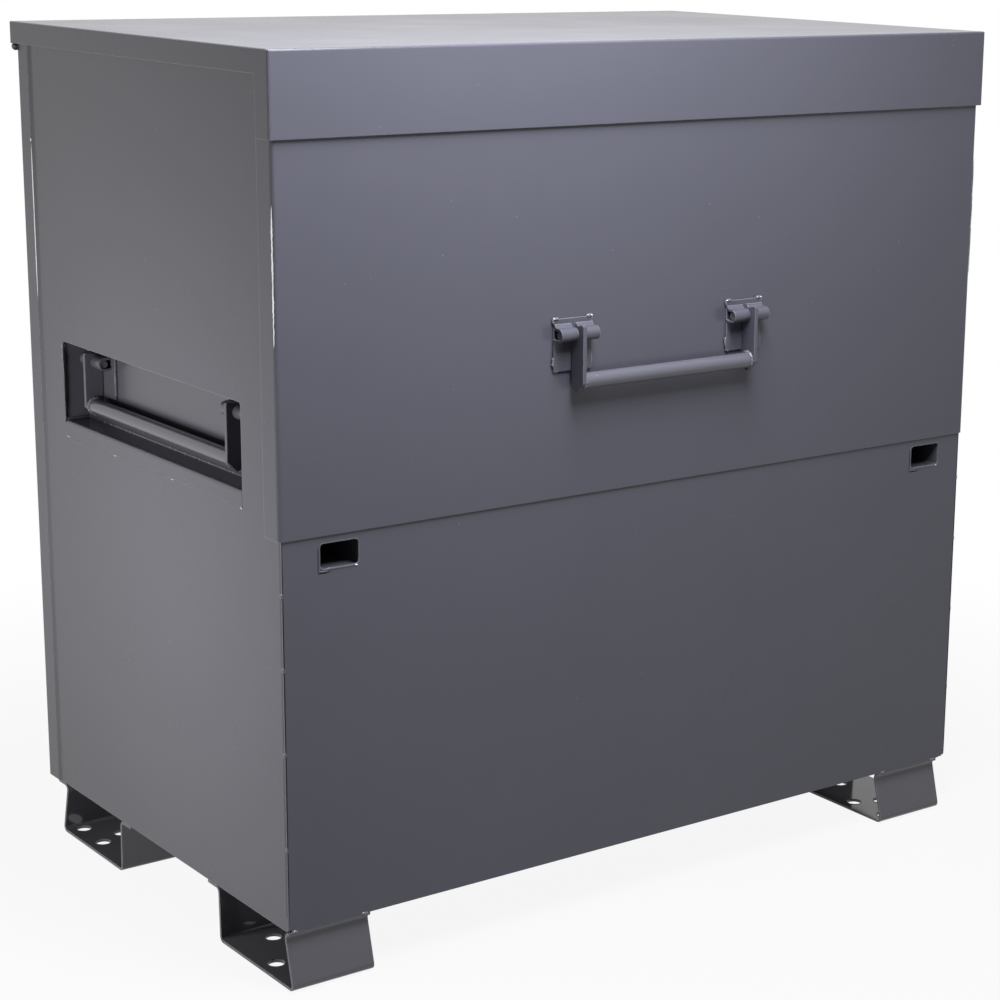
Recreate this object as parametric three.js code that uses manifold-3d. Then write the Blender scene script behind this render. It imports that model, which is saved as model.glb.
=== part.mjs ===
import * as THREE from 'three';
import { mergeVertices } from 'three/addons/utils/BufferGeometryUtils.js';
import Module from 'manifold-3d';

const wasm = await Module();
wasm.setup();

// A piano-style jobsite storage box: a welded sheet-steel body on four bent feet, and an L-shaped lid
// that carries the top and the upper half of the front and swings up on a full-length hinge at the back.
// Millimetres, front to -Y, left to -X, up to +Z, origin under the middle of the bounding box.

// Overall size
const lidWidth = 1219;
const lidDepth = 762;
const overallHeight = 1231;
const sheet = 2;
const bendRadius = 1.5;
const weldGap = 0.3;
const bendSteps = 3;
const cutOverrun = 1;

// Body shell
const bodyBottom = 81.5;
const sideInset = 9;
const frontInset = 7.1;
const backInset = 9;
const bodyTopGap = 4;
const frameFlange = 20;
const jambFlange = 25;
const wrapWidth = 35;
const floorLip = 18;
const flangeRelief = 8;

// Lower front panel
const ledgeDrop = 600;
const ledgeDepth = 26;
const ledgeLip = 12;
const cornerWidth = 20;
const cornerHeight = 8;

// Lid
const bandHeight = 109.5;
const rimHeight = 31.4;
const bandReturn = 34;
const lidEdgeRadius = 3;
const panelInset = 4.9;
const panelSetback = 4.7;
const panelLap = 15.9;
const panelReturn = 38;
const panelBendRadius = 3;

// Full-length hinge at the back
const hingeDrop = 36;
const hingeSetback = 4.5;
const hingeEndInset = 2.5;
const barrelRadius = 3.8;
const barrelBore = 2.3;
const hingePinRadius = 2;
const leafSheet = 1.6;
const bodyLeafHeight = 34;
const lidLeafHeight = 24;
const knuckleCount = 17;
const knuckleGap = 0.6;
const knuckleClearance = 0.5;
const knuckleRoot = 1;
const barrelSides = 16;

// Feet, each a hat-shaped bent plate
const footPlate = 4;
const footBend = 4;
const footFlangeBend = 6;
const footWidth = 125;
const footBase = 206;
const footSlant = 20;
const footStraightLean = 2;
const footOverhang = 4;
const footTrimmedFlange = 8.6;
const footFlange = 30;
const rearFootSetback = 49;
const footInsetLeft = 0;
const footInsetRight = 17;
const footHoleRadius = 11.2;
const footHoleSides = 24;
const footHoleShares = [
  [0.19, 0.105], [0.81, 0.105], [0.19, 0.437], [0.81, 0.437], [0.5, 0.347], [0.5, 0.814],
];

// Padlock ports and the housings behind them
const portWidth = 57;
const portHeight = 34;
const portLedgeGap = 27;
const portInsetLeft = 56.5;
const portInsetRight = 44;
const portRadius = 5;
const housingDepth = 122;
const strikeThickness = 5;
const strikeSetback = 86;
const strikeWidth = 24;
const strikeReach = 55;
const strikeTopRise = 74;
const strikeStepRise = 5;
const strikeSlotRun = 46;
const strikeSlotWidth = 9;
const shackleHoleRadius = 6.5;
const shackleHoleReach = 45;
const eyeOffset = 9;
const eyeHeight = 27;

// Stiffeners inside the lid
const hatWidth = 60;
const hatDepth = 20;
const hatFlange = 14;
const hatSheet = 1.5;
const topHatSetback = 300;
const topHatInset = 69.5;
const panelHatRise = 120;
const panelHatInset = 39.5;

// Side handle recesses
const recessFrontMargin = 106.5;
const recessBackMargin = 118.5;
const recessHeight = 117;
const recessDrop = 452;
const recessDepth = 39;
const recessLip = 22.8;
const recessRadius = 5;
const lipGap = 0.4;
const lipSlit = 1.2;
const panBend = 2;

// Drop handles: the same bracket and arm at the front and in both recesses
const frontHandleDrop = 388;
const frontHandleSpacing = 301;
const sideHandleDrop = 476;
const sideHandleInset = 55;
const bracketWidth = 63;
const sidePlateWidth = 79;
const bracketTop = 21;
const bracketBottom = 51;
const bracketPlate = 3;
const pinStandoff = 14;
const pinRadius = 5.5;
const strapBore = 6.2;
const strapSheet = 3.3;
const strapGap = 1;
const strapFlare = 5;
const armThickness = 6;
const armBack = 9.8;
const armFront = 18;
const armTopFront = 15;
const armBottom = 80;
const armChamfer = 14;
const armHoleRadius = 5.8;
const gripRadius = 11;
const gripDrop = 64.5;
const gripOffset = 4;
const gripSides = 24;
const pinSides = 20;

// Gas springs: both studs stand the same distance from the hinge, so the tube turns half the lid's angle
const springStudRadius = 220;
const springClosedAngle = 80;
const springTilt = 4;
const springInset = 34;
const springTubeRadius = 11;
const springTubeBore = 9.2;
const springTubeLength = 212;
const springTubeFoot = 16;
const springRodRadius = 4;
const springRodClearance = 0.4;
const springRodLength = 258;
const springGland = 14;
const springEyeRadius = 9;
const springEyeThickness = 6;
const springSlotReach = 10;
const springSlotEnd = 9;
const springSlotThickness = 4;
const springBladeRoot = 2;
const springSides = 20;
const studRadius = 4;
const studClearance = 0.5;
const studShoulder = 8;
const studHeadRadius = 7;
const studRoot = 1;
const studPlateSize = 28;
const studPlate = 3;
const studPlateRadius = 5;
const lidBracketWidth = 46;
const lidBracketFlange = 24;
const lidBracketGap = 6;
const lidBracketOverhang = 13;

// Rubber bumpers on the ledge
const bumperRadius = 8;
const bumperHeight = 4.3;

// Positions that follow from the sizes
const handleReach = pinStandoff + armFront - panelSetback;
const bandFaceY = -(lidDepth - handleReach) / 2;
const backEdgeY = bandFaceY + lidDepth;
const bodyHalfWidth = lidWidth / 2 - sideInset;
const bodyFrontY = bandFaceY + frontInset;
const bodyBackY = backEdgeY - backInset;
const bodyTop = overallHeight - sheet - bodyTopGap;
const panelFaceY = bandFaceY + panelSetback;
const hingeY = backEdgeY - hingeSetback;
const hingeZ = overallHeight - hingeDrop;
const ledgeTop = overallHeight - ledgeDrop;
const sideInnerX = bodyHalfWidth - sheet;
const floorBottom = bodyBottom + weldGap / 2;
const leftPortX = portInsetLeft + portWidth / 2 - bodyHalfWidth;
const rightPortX = bodyHalfWidth - portInsetRight - portWidth / 2;
const rad = Math.PI / 180;

const steel = { color: 0x4b4c54, roughness: 0.45, metalness: 0.25 };
const darkSteel = { color: 0x3d3e45, roughness: 0.5, metalness: 0.25 };
const zinc = { color: 0xb9bcc0, roughness: 0.35, metalness: 0.9 };
const black = { color: 0x151517, roughness: 0.4, metalness: 0.3 };
const chrome = { color: 0xd5d8dc, roughness: 0.15, metalness: 1 };
const rubber = { color: 0x18181a, roughness: 0.85, metalness: 0 };

// Solid from a closed three.js geometry, and back
function solid(geometry) {
  const bare = geometry.clone();
  bare.deleteAttribute('normal');
  bare.deleteAttribute('uv');
  const merged = mergeVertices(bare, 1e-4);
  return new wasm.Manifold(new wasm.Mesh({
    numProp: 3,
    vertProperties: new Float32Array(merged.attributes.position.array),
    triVerts: new Uint32Array(merged.index.array),
  }));
}

function geometryOf(body) {
  const mesh = body.getMesh();
  const geometry = new THREE.BufferGeometry();
  geometry.setAttribute('position', new THREE.BufferAttribute(new Float32Array(mesh.vertProperties), 3));
  geometry.setIndex(new THREE.BufferAttribute(new Uint32Array(mesh.triVerts), 1));
  const flat = geometry.toNonIndexed();
  flat.computeVertexNormals();
  return flat;
}

function piece(name, body, look, parent, x = 0, y = 0, z = 0) {
  const mesh = new THREE.Mesh(geometryOf(body), new THREE.MeshStandardMaterial(look));
  mesh.name = name;
  mesh.position.set(x, y, z);
  parent.add(mesh);
  return mesh;
}

// Prisms: a profile in the plane across the axis, pushed along it
function prism(outline, from, to, basis, holes = []) {
  const shape = new THREE.Shape(outline.map(([a, b]) => new THREE.Vector2(a, b)));
  for (const hole of holes) shape.holes.push(new THREE.Path(hole.map(([a, b]) => new THREE.Vector2(a, b))));
  const geometry = new THREE.ExtrudeGeometry(shape, { depth: Math.abs(to - from), bevelEnabled: false });
  geometry.applyMatrix4(basis);
  return solid(geometry);
}

const axisX = new THREE.Vector3(1, 0, 0);
const axisY = new THREE.Vector3(0, 1, 0);
const axisZ = new THREE.Vector3(0, 0, 1);

// Profile [y, z] along X, profile [x, z] along Y, profile [x, y] along Z
function alongX(outline, from, to, holes) {
  const basis = new THREE.Matrix4().makeBasis(axisY, axisZ, axisX).setPosition(from, 0, 0);
  return prism(outline, from, to, basis, holes);
}

function alongY(outline, from, to, holes) {
  const back = axisY.clone().negate();
  const basis = new THREE.Matrix4().makeBasis(axisX, axisZ, back).setPosition(0, to, 0);
  return prism(outline, from, to, basis, holes);
}

function alongZ(outline, from, to, holes) {
  const basis = new THREE.Matrix4().setPosition(0, 0, from);
  return prism(outline, from, to, basis, holes);
}

function block(x0, x1, y0, y1, z0, z1) {
  const geometry = new THREE.BoxGeometry(x1 - x0, y1 - y0, z1 - z0);
  geometry.translate((x0 + x1) / 2, (y0 + y1) / 2, (z0 + z1) / 2);
  return solid(geometry);
}

function arc(centreA, centreB, radius, from, to, steps) {
  const points = [];
  for (let i = 0; i <= steps; i++) {
    const angle = from + (to - from) * i / steps;
    points.push([centreA + radius * Math.cos(angle), centreB + radius * Math.sin(angle)]);
  }
  return points;
}

function circle(centreA, centreB, radius, sides) {
  return arc(centreA, centreB, radius, 0, 2 * Math.PI, sides).slice(0, sides);
}

function roundedRectangle(a0, a1, b0, b1, radius, steps = 3) {
  return [
    ...arc(a1 - radius, b0 + radius, radius, -Math.PI / 2, 0, steps),
    ...arc(a1 - radius, b1 - radius, radius, 0, Math.PI / 2, steps),
    ...arc(a0 + radius, b1 - radius, radius, Math.PI / 2, Math.PI, steps),
    ...arc(a0 + radius, b0 + radius, radius, Math.PI, 3 * Math.PI / 2, steps),
  ];
}

// Bent sheet: the path is the line of one face with sharp corners, the sheet lies to the right of it,
// and every corner becomes an arc
function bentSheet(path, thickness, innerRadii, steps = bendSteps) {
  const middle = offsetPath(path, thickness / 2);
  const line = [];
  const normals = [];
  for (let i = 0; i < middle.length; i++) {
    const before = middle[i - 1];
    const here = middle[i];
    const after = middle[i + 1];
    if (!before || !after) {
      const direction = unit(before ? before : here, before ? here : after);
      line.push(here);
      normals.push([direction[1], -direction[0]]);
      continue;
    }
    const arrive = unit(before, here);
    const leave = unit(here, after);
    const cross = arrive[0] * leave[1] - arrive[1] * leave[0];
    const turn = Math.atan2(cross, arrive[0] * leave[0] + arrive[1] * leave[1]);
    const innerRadius = Array.isArray(innerRadii) ? innerRadii[i - 1] : innerRadii;
    const radius = innerRadius + thickness / 2;
    const run = radius * Math.abs(Math.tan(turn / 2));
    const left = Math.sign(turn);
    const start = [here[0] - arrive[0] * run, here[1] - arrive[1] * run];
    const centre = [start[0] - arrive[1] * radius * left, start[1] + arrive[0] * radius * left];
    const first = Math.atan2(start[1] - centre[1], start[0] - centre[0]);
    for (let k = 0; k <= steps; k++) {
      const angle = first + turn * k / steps;
      const out = [Math.cos(angle), Math.sin(angle)];
      line.push([centre[0] + out[0] * radius, centre[1] + out[1] * radius]);
      normals.push([out[0] * left, out[1] * left]);
    }
  }
  const half = thickness / 2;
  const near = line.map((p, i) => [p[0] - normals[i][0] * half, p[1] - normals[i][1] * half]);
  const far = line.map((p, i) => [p[0] + normals[i][0] * half, p[1] + normals[i][1] * half]);
  return [...near, ...far.reverse()];
}

function unit(from, to) {
  const length = Math.hypot(to[0] - from[0], to[1] - from[1]);
  return [(to[0] - from[0]) / length, (to[1] - from[1]) / length];
}

function offsetPath(path, distance) {
  return path.map((here, i) => {
    const arrive = i > 0 ? unit(path[i - 1], here) : null;
    const leave = i < path.length - 1 ? unit(here, path[i + 1]) : null;
    const a = arrive ? [arrive[1], -arrive[0]] : [leave[1], -leave[0]];
    const b = leave ? [leave[1], -leave[0]] : a;
    const share = distance / (1 + a[0] * b[0] + a[1] * b[1]);
    return [here[0] + (a[0] + b[0]) * share, here[1] + (a[1] + b[1]) * share];
  });
}

// Outline drawn for the right side, flipped for the left
function sided(outline, side) {
  return outline.map(([a, b]) => [a * side, b]);
}

function joined(bodies) {
  return bodies.reduce((all, next) => all.add(next));
}

// Round bar along X
function rod(x0, x1, radius, sides) {
  const geometry = new THREE.CylinderGeometry(radius, radius, x1 - x0, sides);
  geometry.rotateZ(Math.PI / 2);
  geometry.translate((x0 + x1) / 2, 0, 0);
  return solid(geometry);
}

// Turned piece along Z from a closed profile of radius and height
function turned(profile, sides) {
  const geometry = new THREE.LatheGeometry(profile.map(([r, h]) => new THREE.Vector2(r, h)), sides);
  geometry.rotateX(Math.PI / 2);
  return solid(geometry);
}

const box = new THREE.Group();

// Recess opening in the side panels
const recessFront = bandFaceY + recessFrontMargin;
const recessBack = backEdgeY - recessBackMargin;
const recessTop = overallHeight - recessDrop;
const recessFloor = recessTop - recessHeight;
const lipBottom = recessFloor - recessLip;

// Side panel: flat sheet with a jamb flange behind the front sheet and a flange round the top opening
function sidePanel(name, side) {
  const front = bodyFrontY + sheet + weldGap;
  const back = bodyBackY - sheet - bendRadius;
  const bendTop = bodyTop - sheet - bendRadius;
  const jamb = bentSheet([[bodyHalfWidth, back], [bodyHalfWidth, front],
    [bodyHalfWidth - jambFlange, front]], sheet, bendRadius);
  const flange = bentSheet([[bodyHalfWidth - frameFlange, bodyTop], [bodyHalfWidth, bodyTop],
    [bodyHalfWidth, bendTop - flangeRelief]], sheet, bendRadius);
  const wall = alongZ(sided(jamb, side), bodyBottom, bendTop);
  const top = alongY(sided(flange, side), front + jambFlange, back);
  const low = [...arc(0, 0, recessRadius, 0, Math.PI / 2, bendSteps)];
  const opening = [
    [recessFront, lipBottom - lipGap], [recessBack, lipBottom - lipGap],
    ...low.map(([a, b]) => [recessBack - recessRadius + a, recessTop - recessRadius + b]),
    ...low.map(([a, b]) => [recessFront + recessRadius - b, recessTop - recessRadius + a]),
  ];
  const outer = bodyHalfWidth + sheet;
  const [from, to] = [side * (outer - 3 * sheet), side * outer].sort((a, b) => a - b);
  const window = alongX(opening, from, to);
  piece(name, wall.add(top).subtract(window), steel, box);
}

// The sliver outside an elliptical lower corner whose square tip is at a, b
function cornerCut(a, b, width, height, toward) {
  const curve = arc(1, 1, 1, Math.PI, 3 * Math.PI / 2, 2 * bendSteps);
  return [
    [a - cutOverrun * toward, b - cutOverrun],
    [a - cutOverrun * toward, b + height],
    ...curve.map(([p, q]) => [a + width * p * toward, b + height * q]),
    [a + width * toward, b - cutOverrun],
  ];
}

// Back panel: one sheet wrapped round both rear corners, outside the side panels
function backPanel() {
  const wrapX = bodyHalfWidth + sheet + weldGap;
  const bendTop = bodyTop - sheet - bendRadius;
  const wrap = bentSheet([[-wrapX, bodyBackY - wrapWidth], [-wrapX, bodyBackY], [wrapX, bodyBackY],
    [wrapX, bodyBackY - wrapWidth]], sheet, bendRadius);
  const flange = bentSheet([[bodyBackY - frameFlange, bodyTop], [bodyBackY, bodyTop],
    [bodyBackY, bendTop - flangeRelief]], sheet, bendRadius);
  const flangeX = bodyHalfWidth - frameFlange - weldGap;
  piece('back_panel', alongZ(wrap, bodyBottom, bendTop).add(alongX(flange, -flangeX, flangeX)), steel, box);
}

// Lower front panel: face, inward ledge and turned-down lip, with the two padlock ports
const portTop = ledgeTop - portLedgeGap;
const portBottom = portTop - portHeight;

function lowerFrontPanel() {
  const ledgeBack = bodyFrontY + ledgeDepth;
  const section = bentSheet([[bodyFrontY, bodyBottom], [bodyFrontY, ledgeTop], [ledgeBack, ledgeTop],
    [ledgeBack, ledgeTop - ledgeLip]], sheet, bendRadius);
  let panel = alongX(section, -bodyHalfWidth, bodyHalfWidth);
  for (const side of [-1, 1]) {
    const notchX = side * (bodyHalfWidth - jambFlange - weldGap * 2);
    const edgeX = side * (bodyHalfWidth + sheet);
    panel = panel.subtract(block(Math.min(notchX, edgeX), Math.max(notchX, edgeX),
      bodyFrontY + sheet, ledgeBack + sheet, bodyBottom - sheet, ledgeTop + sheet));
    const portX = side > 0 ? rightPortX : leftPortX;
    const half = portWidth / 2;
    const port = roundedRectangle(portX - half, portX + half, portBottom, portTop, portRadius);
    panel = panel.subtract(alongY(port, bodyFrontY - sheet, bodyFrontY + 2 * sheet));
    const corner = cornerCut(side * bodyHalfWidth, bodyBottom, cornerWidth, cornerHeight, -side);
    panel = panel.subtract(alongY(corner, bodyFrontY - sheet, bodyFrontY + 2 * sheet));
  }
  piece('lower_front_panel', panel, steel, box);
}

// Floor: shallow tray with turned-up lips
function floorPanel() {
  const halfX = sideInnerX - weldGap;
  const front = bodyFrontY + 2 * sheet + 2 * weldGap;
  const back = bodyBackY - sheet - weldGap;
  const plan = roundedRectangle(-halfX, halfX, front, back, bendRadius + sheet);
  const inner = roundedRectangle(-halfX + sheet, halfX - sheet, front + sheet, back - sheet, bendRadius);
  const tray = alongZ(plan, floorBottom, floorBottom + floorLip);
  const hollow = alongZ(inner, floorBottom + sheet, floorBottom + 2 * floorLip);
  piece('floor_panel', tray.subtract(hollow), steel, box);
}

// Foot: flange, slanted wall, base, straight wall, flange, with six round holes in the base
function foot(name, x, y, facing, slantFlange) {
  const flangeZ = bodyBottom - weldGap - footPlate;
  const path = [
    [footBase + footStraightLean + footFlange, flangeZ], [footBase + footStraightLean, flangeZ],
    [footBase, 0], [0, 0], [footSlant, flangeZ], [footSlant - slantFlange, flangeZ],
  ];
  const radii = [footFlangeBend, footBend, footBend, footFlangeBend];
  const section = bentSheet(path, footPlate, radii, bendSteps + 1).map(([a, b]) => [a * facing, b]);
  let plate = alongX(section, 0, footWidth);
  for (const [shareX, shareY] of footHoleShares) {
    const hole = circle(footWidth * shareX, footBase * shareY * facing, footHoleRadius, footHoleSides);
    plate = plate.subtract(alongZ(hole, -footPlate, 2 * footPlate));
  }
  piece(name, plate, darkSteel, box, x, y);
}

// Padlock housing: rectangular tube behind the port, closed at the back, slotted on top for the strike
const strikeFront = bandFaceY + strikeSetback;
const strikeBack = strikeFront + strikeWidth;

function lockHousing(name, x) {
  const halfX = portWidth / 2 + weldGap;
  const front = bodyFrontY + sheet + weldGap;
  const back = bodyFrontY + housingDepth;
  const top = portTop + weldGap;
  const bottom = portBottom - weldGap;
  const tube = block(-halfX - sheet, halfX + sheet, front, back, bottom - sheet, top + sheet);
  const hollow = block(-halfX, halfX, front - sheet, back - sheet, bottom, top);
  const slotHalf = strikeSlotWidth / 2;
  const slot = block(-slotHalf, slotHalf, strikeFront - strikeSlotRun, strikeBack + sheet,
    top - sheet, top + 2 * sheet);
  piece(name, tube.subtract(hollow).subtract(slot), darkSteel, box, x);
}

// Fixed eye inside the housing, beside the strike, drilled in line with it
const shackleZ = ledgeTop - shackleHoleReach;
const shackleY = (strikeFront + strikeBack) / 2;

function lockEye(name, x) {
  const foot = portBottom;
  const head = foot + eyeHeight;
  const round = strikeWidth / 2;
  const outline = [[strikeFront, foot], [strikeBack, foot], [strikeBack, head - round / 2],
    [strikeBack - round / 2, head], [strikeFront + round / 2, head], [strikeFront, head - round / 2]];
  const hole = circle(shackleY, shackleZ, shackleHoleRadius, pinSides);
  const plate = alongX(outline, -strikeThickness / 2, strikeThickness / 2, [hole]);
  piece(name, plate, darkSteel, box, x);
}

// Strike: gusset plate on the back of the lid front, with a drilled tongue that drops into the housing
function lockStrike(name, x) {
  const face = panelFaceY + sheet + weldGap;
  const stepZ = ledgeTop + strikeStepRise;
  const tip = ledgeTop - strikeReach;
  const cut = strikeWidth / 5;
  const outline = [
    [face, ledgeTop + strikeTopRise], [face, stepZ], [strikeFront, stepZ], [strikeFront, tip + cut],
    [strikeFront + cut, tip], [strikeBack - cut, tip], [strikeBack, tip + cut],
    [strikeBack, stepZ + strikeWidth / 2],
  ];
  const hole = circle(shackleY, shackleZ, shackleHoleRadius, pinSides);
  const plate = alongX(outline, -strikeThickness / 2, strikeThickness / 2, [hole]);
  piece(name, plate, darkSteel, box, x);
}

// Lid top: sheet with a deep front band, short rims at the sides and back, and mitred front corners
function lidTop() {
  const shell = lidBlock(0, lidEdgeRadius).subtract(lidBlock(sheet, lidEdgeRadius - sheet));
  const far = lidWidth;
  const skirt = block(-far, far, bandFaceY + bandReturn, backEdgeY + sheet,
    overallHeight - bandHeight - sheet, overallHeight - rimHeight);
  piece('lid_top', shell.subtract(skirt), steel, box);
}

// Block with rounded top and corner edges, drawn in from the outside of the lid
function lidBlock(inset, radius) {
  const halfX = lidWidth / 2 - inset;
  const front = bandFaceY + inset;
  const back = backEdgeY - inset;
  const top = overallHeight - inset;
  const bottom = overallHeight - bandHeight - (inset > 0 ? bandHeight : 0);
  const arched = (from, to) => [
    [from, bottom], [to, bottom],
    ...arc(to - radius, top - radius, radius, 0, Math.PI / 2, bendSteps),
    ...arc(from + radius, top - radius, radius, Math.PI / 2, Math.PI, bendSteps),
  ];
  const plan = roundedRectangle(-halfX, halfX, front, back, radius, bendSteps);
  return alongX(arched(front, back), -halfX, halfX).intersect(alongY(arched(-halfX, halfX), front, back))
    .intersect(alongZ(plan, bottom, top));
}

// Lid front: sheet behind the band, with returns that wrap outside the side panels
function lidFront() {
  const halfX = lidWidth / 2 - panelInset;
  const section = bentSheet([[halfX, panelFaceY + panelReturn], [halfX, panelFaceY], [-halfX, panelFaceY],
    [-halfX, panelFaceY + panelReturn]], sheet, panelBendRadius, bendSteps + 1);
  const panel = alongZ(section, ledgeTop - panelLap, overallHeight - sheet - weldGap);
  piece('lid_front_panel', panel, steel, box);
}

// Hat-section stiffeners under the top and behind the front
function lidStiffeners() {
  const topFace = overallHeight - sheet - weldGap;
  const under = hat(bandFaceY + topHatSetback).map(([across, depth]) => [across, topFace - depth]);
  const topReach = lidWidth / 2 - topHatInset;
  const topHat = bentSheet(under, hatSheet, bendRadius);
  piece('lid_top_stiffener', alongX(topHat, -topReach, topReach), steel, box);
  const face = panelFaceY + sheet + weldGap;
  const behind = hat(ledgeTop + panelHatRise).map(([across, depth]) => [face + depth, across]);
  const panelReach = lidWidth / 2 - panelHatInset;
  const panelHat = bentSheet(behind, hatSheet, bendRadius);
  piece('lid_front_stiffener', alongX(panelHat, -panelReach, panelReach), steel, box);
}

// Hat section round a middle line, as distances across it and away from the face that carries it
function hat(middle) {
  const half = hatWidth / 2;
  return [
    [middle - half - hatFlange, 0], [middle - half, 0], [middle - half, hatDepth],
    [middle + half, hatDepth], [middle + half, 0], [middle + half + hatFlange, 0],
  ];
}

// Full-length hinge: two leaves with alternating rolled knuckles on one pin
function hingeLeaf(name, first, leafHalf, leafY, leafLow, leafHigh, stubLow, stubHigh) {
  const half = lidWidth / 2 - hingeEndInset;
  const pitch = 2 * half / knuckleCount;
  const parts = [block(-leafHalf, leafHalf, leafY, leafY + leafSheet, leafLow, leafHigh)];
  const ring = circle(0, 0, barrelRadius, barrelSides);
  const bore = circle(0, 0, barrelBore, barrelSides);
  for (let i = first; i < knuckleCount; i += 2) {
    const from = -half + i * pitch + (i > 0 ? knuckleGap / 2 : 0);
    const to = -half + (i + 1) * pitch - (i < knuckleCount - 1 ? knuckleGap / 2 : 0);
    const barrel = alongX(ring, from, to);
    const stub = block(from, to, leafY, leafY + leafSheet, stubLow, stubHigh);
    parts.push(barrel.add(stub).subtract(alongX(bore, from - cutOverrun, to + cutOverrun)));
  }
  piece(name, joined(parts), steel, box, 0, hingeY, hingeZ);
}

function hinge() {
  const clear = barrelRadius + knuckleClearance;
  const bodyLeafY = bodyBackY + weldGap - hingeY;
  const lidLeafY = backEdgeY - sheet - weldGap - leafSheet - hingeY;
  const rootReach = clear + knuckleRoot;
  const half = lidWidth / 2 - hingeEndInset;
  hingeLeaf('hinge_leaf_body', 0, bodyHalfWidth, bodyLeafY, -bodyLeafHeight, -clear, -rootReach,
    -barrelBore / 2);
  hingeLeaf('hinge_leaf_lid', 1, half, lidLeafY, clear, lidLeafHeight, barrelBore, rootReach);
  piece('hinge_pin', rod(-half, half, hingePinRadius, barrelSides), darkSteel, box, 0, hingeY, hingeZ);
}

// Recess pan behind the side opening: top, back, floor and a lip that fills the foot of the opening
function recessPan(name, side) {
  const backX = bodyHalfWidth - recessDepth;
  const rimX = sideInnerX - weldGap;
  const section = bentSheet([[rimX, recessTop], [backX, recessTop], [backX, recessFloor],
    [bodyHalfWidth, recessFloor], [bodyHalfWidth, lipBottom]], sheet, panBend);
  const trough = alongY(sided(section, side), recessFront - sheet, recessBack + sheet);
  const edge = panBend + sheet;
  const rounded = roundedRectangle(backX - sheet, rimX, recessFloor - sheet, recessTop + sheet, edge);
  const end = sided(rounded, side);
  const square = sided([[rimX - edge * 2, recessFloor - sheet], [rimX, recessFloor - sheet],
    [rimX, recessTop + sheet], [rimX - edge * 2, recessTop + sheet]], side);
  const ends = [[recessFront - sheet, recessFront], [recessBack, recessBack + sheet]].map(([from, to]) =>
    alongY(end, from, to).add(alongY(square, from, to)));
  const outside = [rimX, bodyHalfWidth + sheet].map((x) => x * side).sort((a, b) => a - b);
  const slitEnd = recessFront + lipSlit;
  const slit = block(...outside, recessFront - 2 * sheet, slitEnd, lipBottom - sheet, recessTop);
  const seam = block(...outside, recessBack - lipGap, recessBack + 2 * sheet, lipBottom - sheet, recessTop);
  piece(name, joined([trough, ...ends]).subtract(slit).subtract(seam), steel, box);
}

// Drop handle, drawn with its mounting face at y = 0 and the hand side toward -Y
function bracket(name, x, plateWidth, parent) {
  const face = -weldGap - bracketPlate;
  const half = bracketWidth / 2;
  const plate = block(-plateWidth / 2, plateWidth / 2, face, -weldGap, -bracketBottom, bracketTop);
  const outer = -pinStandoff - strapBore;
  const heel = -pinStandoff + strapFlare;
  const root = face + bracketPlate / 2;
  const bends = [bendRadius, strapBore, strapBore];
  const strap = bentSheet([[root, strapBore + strapFlare], [heel, strapBore], [outer, strapBore],
    [outer, -strapBore], [root, -strapBore]], strapSheet, bends, 2 * bendSteps);
  const gap = armThickness / 2 + strapGap;
  const halves = [alongX(strap, -half, -gap), alongX(strap, gap, half)];
  piece(name, joined([plate, ...halves]), steel, parent, x);
}

function arm(name, x, parent) {
  const low = armBottom - armBack - gripOffset;
  const outline = [
    ...arc(0, 0, armBack, Math.PI, Math.PI / 2, 2 * bendSteps),
    [armFront, armTopFront], [armFront, armChamfer - armBottom], [armFront - armChamfer, -armBottom],
    ...arc(gripOffset, -low, armBack + gripOffset, -Math.PI / 2, -Math.PI, 2 * bendSteps).slice(1),
  ].map(([out, up]) => [-pinStandoff - out, up]);
  const hole = circle(-pinStandoff, 0, armHoleRadius, pinSides);
  piece(name, alongX(outline, -armThickness / 2, armThickness / 2, [hole]), steel, parent, x);
}

function dropHandle(prefix, spacing, plateWidth, parent) {
  for (const [end, x] of [['a', -spacing / 2], ['b', spacing / 2]]) {
    bracket(prefix + '_bracket_' + end, x, plateWidth, parent);
    arm(prefix + '_arm_' + end, x, parent);
    const pinReach = bracketWidth / 2 - strapGap;
    piece(prefix + '_pin_' + end, rod(-pinReach, pinReach, pinRadius, pinSides), darkSteel, parent,
      x, -pinStandoff, 0);
  }
  const gripReach = (spacing - armThickness) / 2 - weldGap;
  piece(prefix + '_grip', rod(-gripReach, gripReach, gripRadius, gripSides), steel, parent,
    0, -pinStandoff - gripOffset, -gripDrop);
}

function handles() {
  const front = new THREE.Group();
  front.position.set(0, panelFaceY, overallHeight - frontHandleDrop);
  dropHandle('front_handle', frontHandleSpacing, bracketWidth, front);
  box.add(front);
  for (const [prefix, side] of [['left_handle', -1], ['right_handle', 1]]) {
    const group = new THREE.Group();
    group.position.set(side * (bodyHalfWidth - recessDepth), (recessFront + recessBack) / 2,
      overallHeight - sideHandleDrop);
    group.rotation.z = side * Math.PI / 2;
    const spacing = recessBack - recessFront - 2 * sideHandleInset;
    dropHandle(prefix, spacing, sidePlateWidth, group);
    box.add(group);
  }
}

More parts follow.
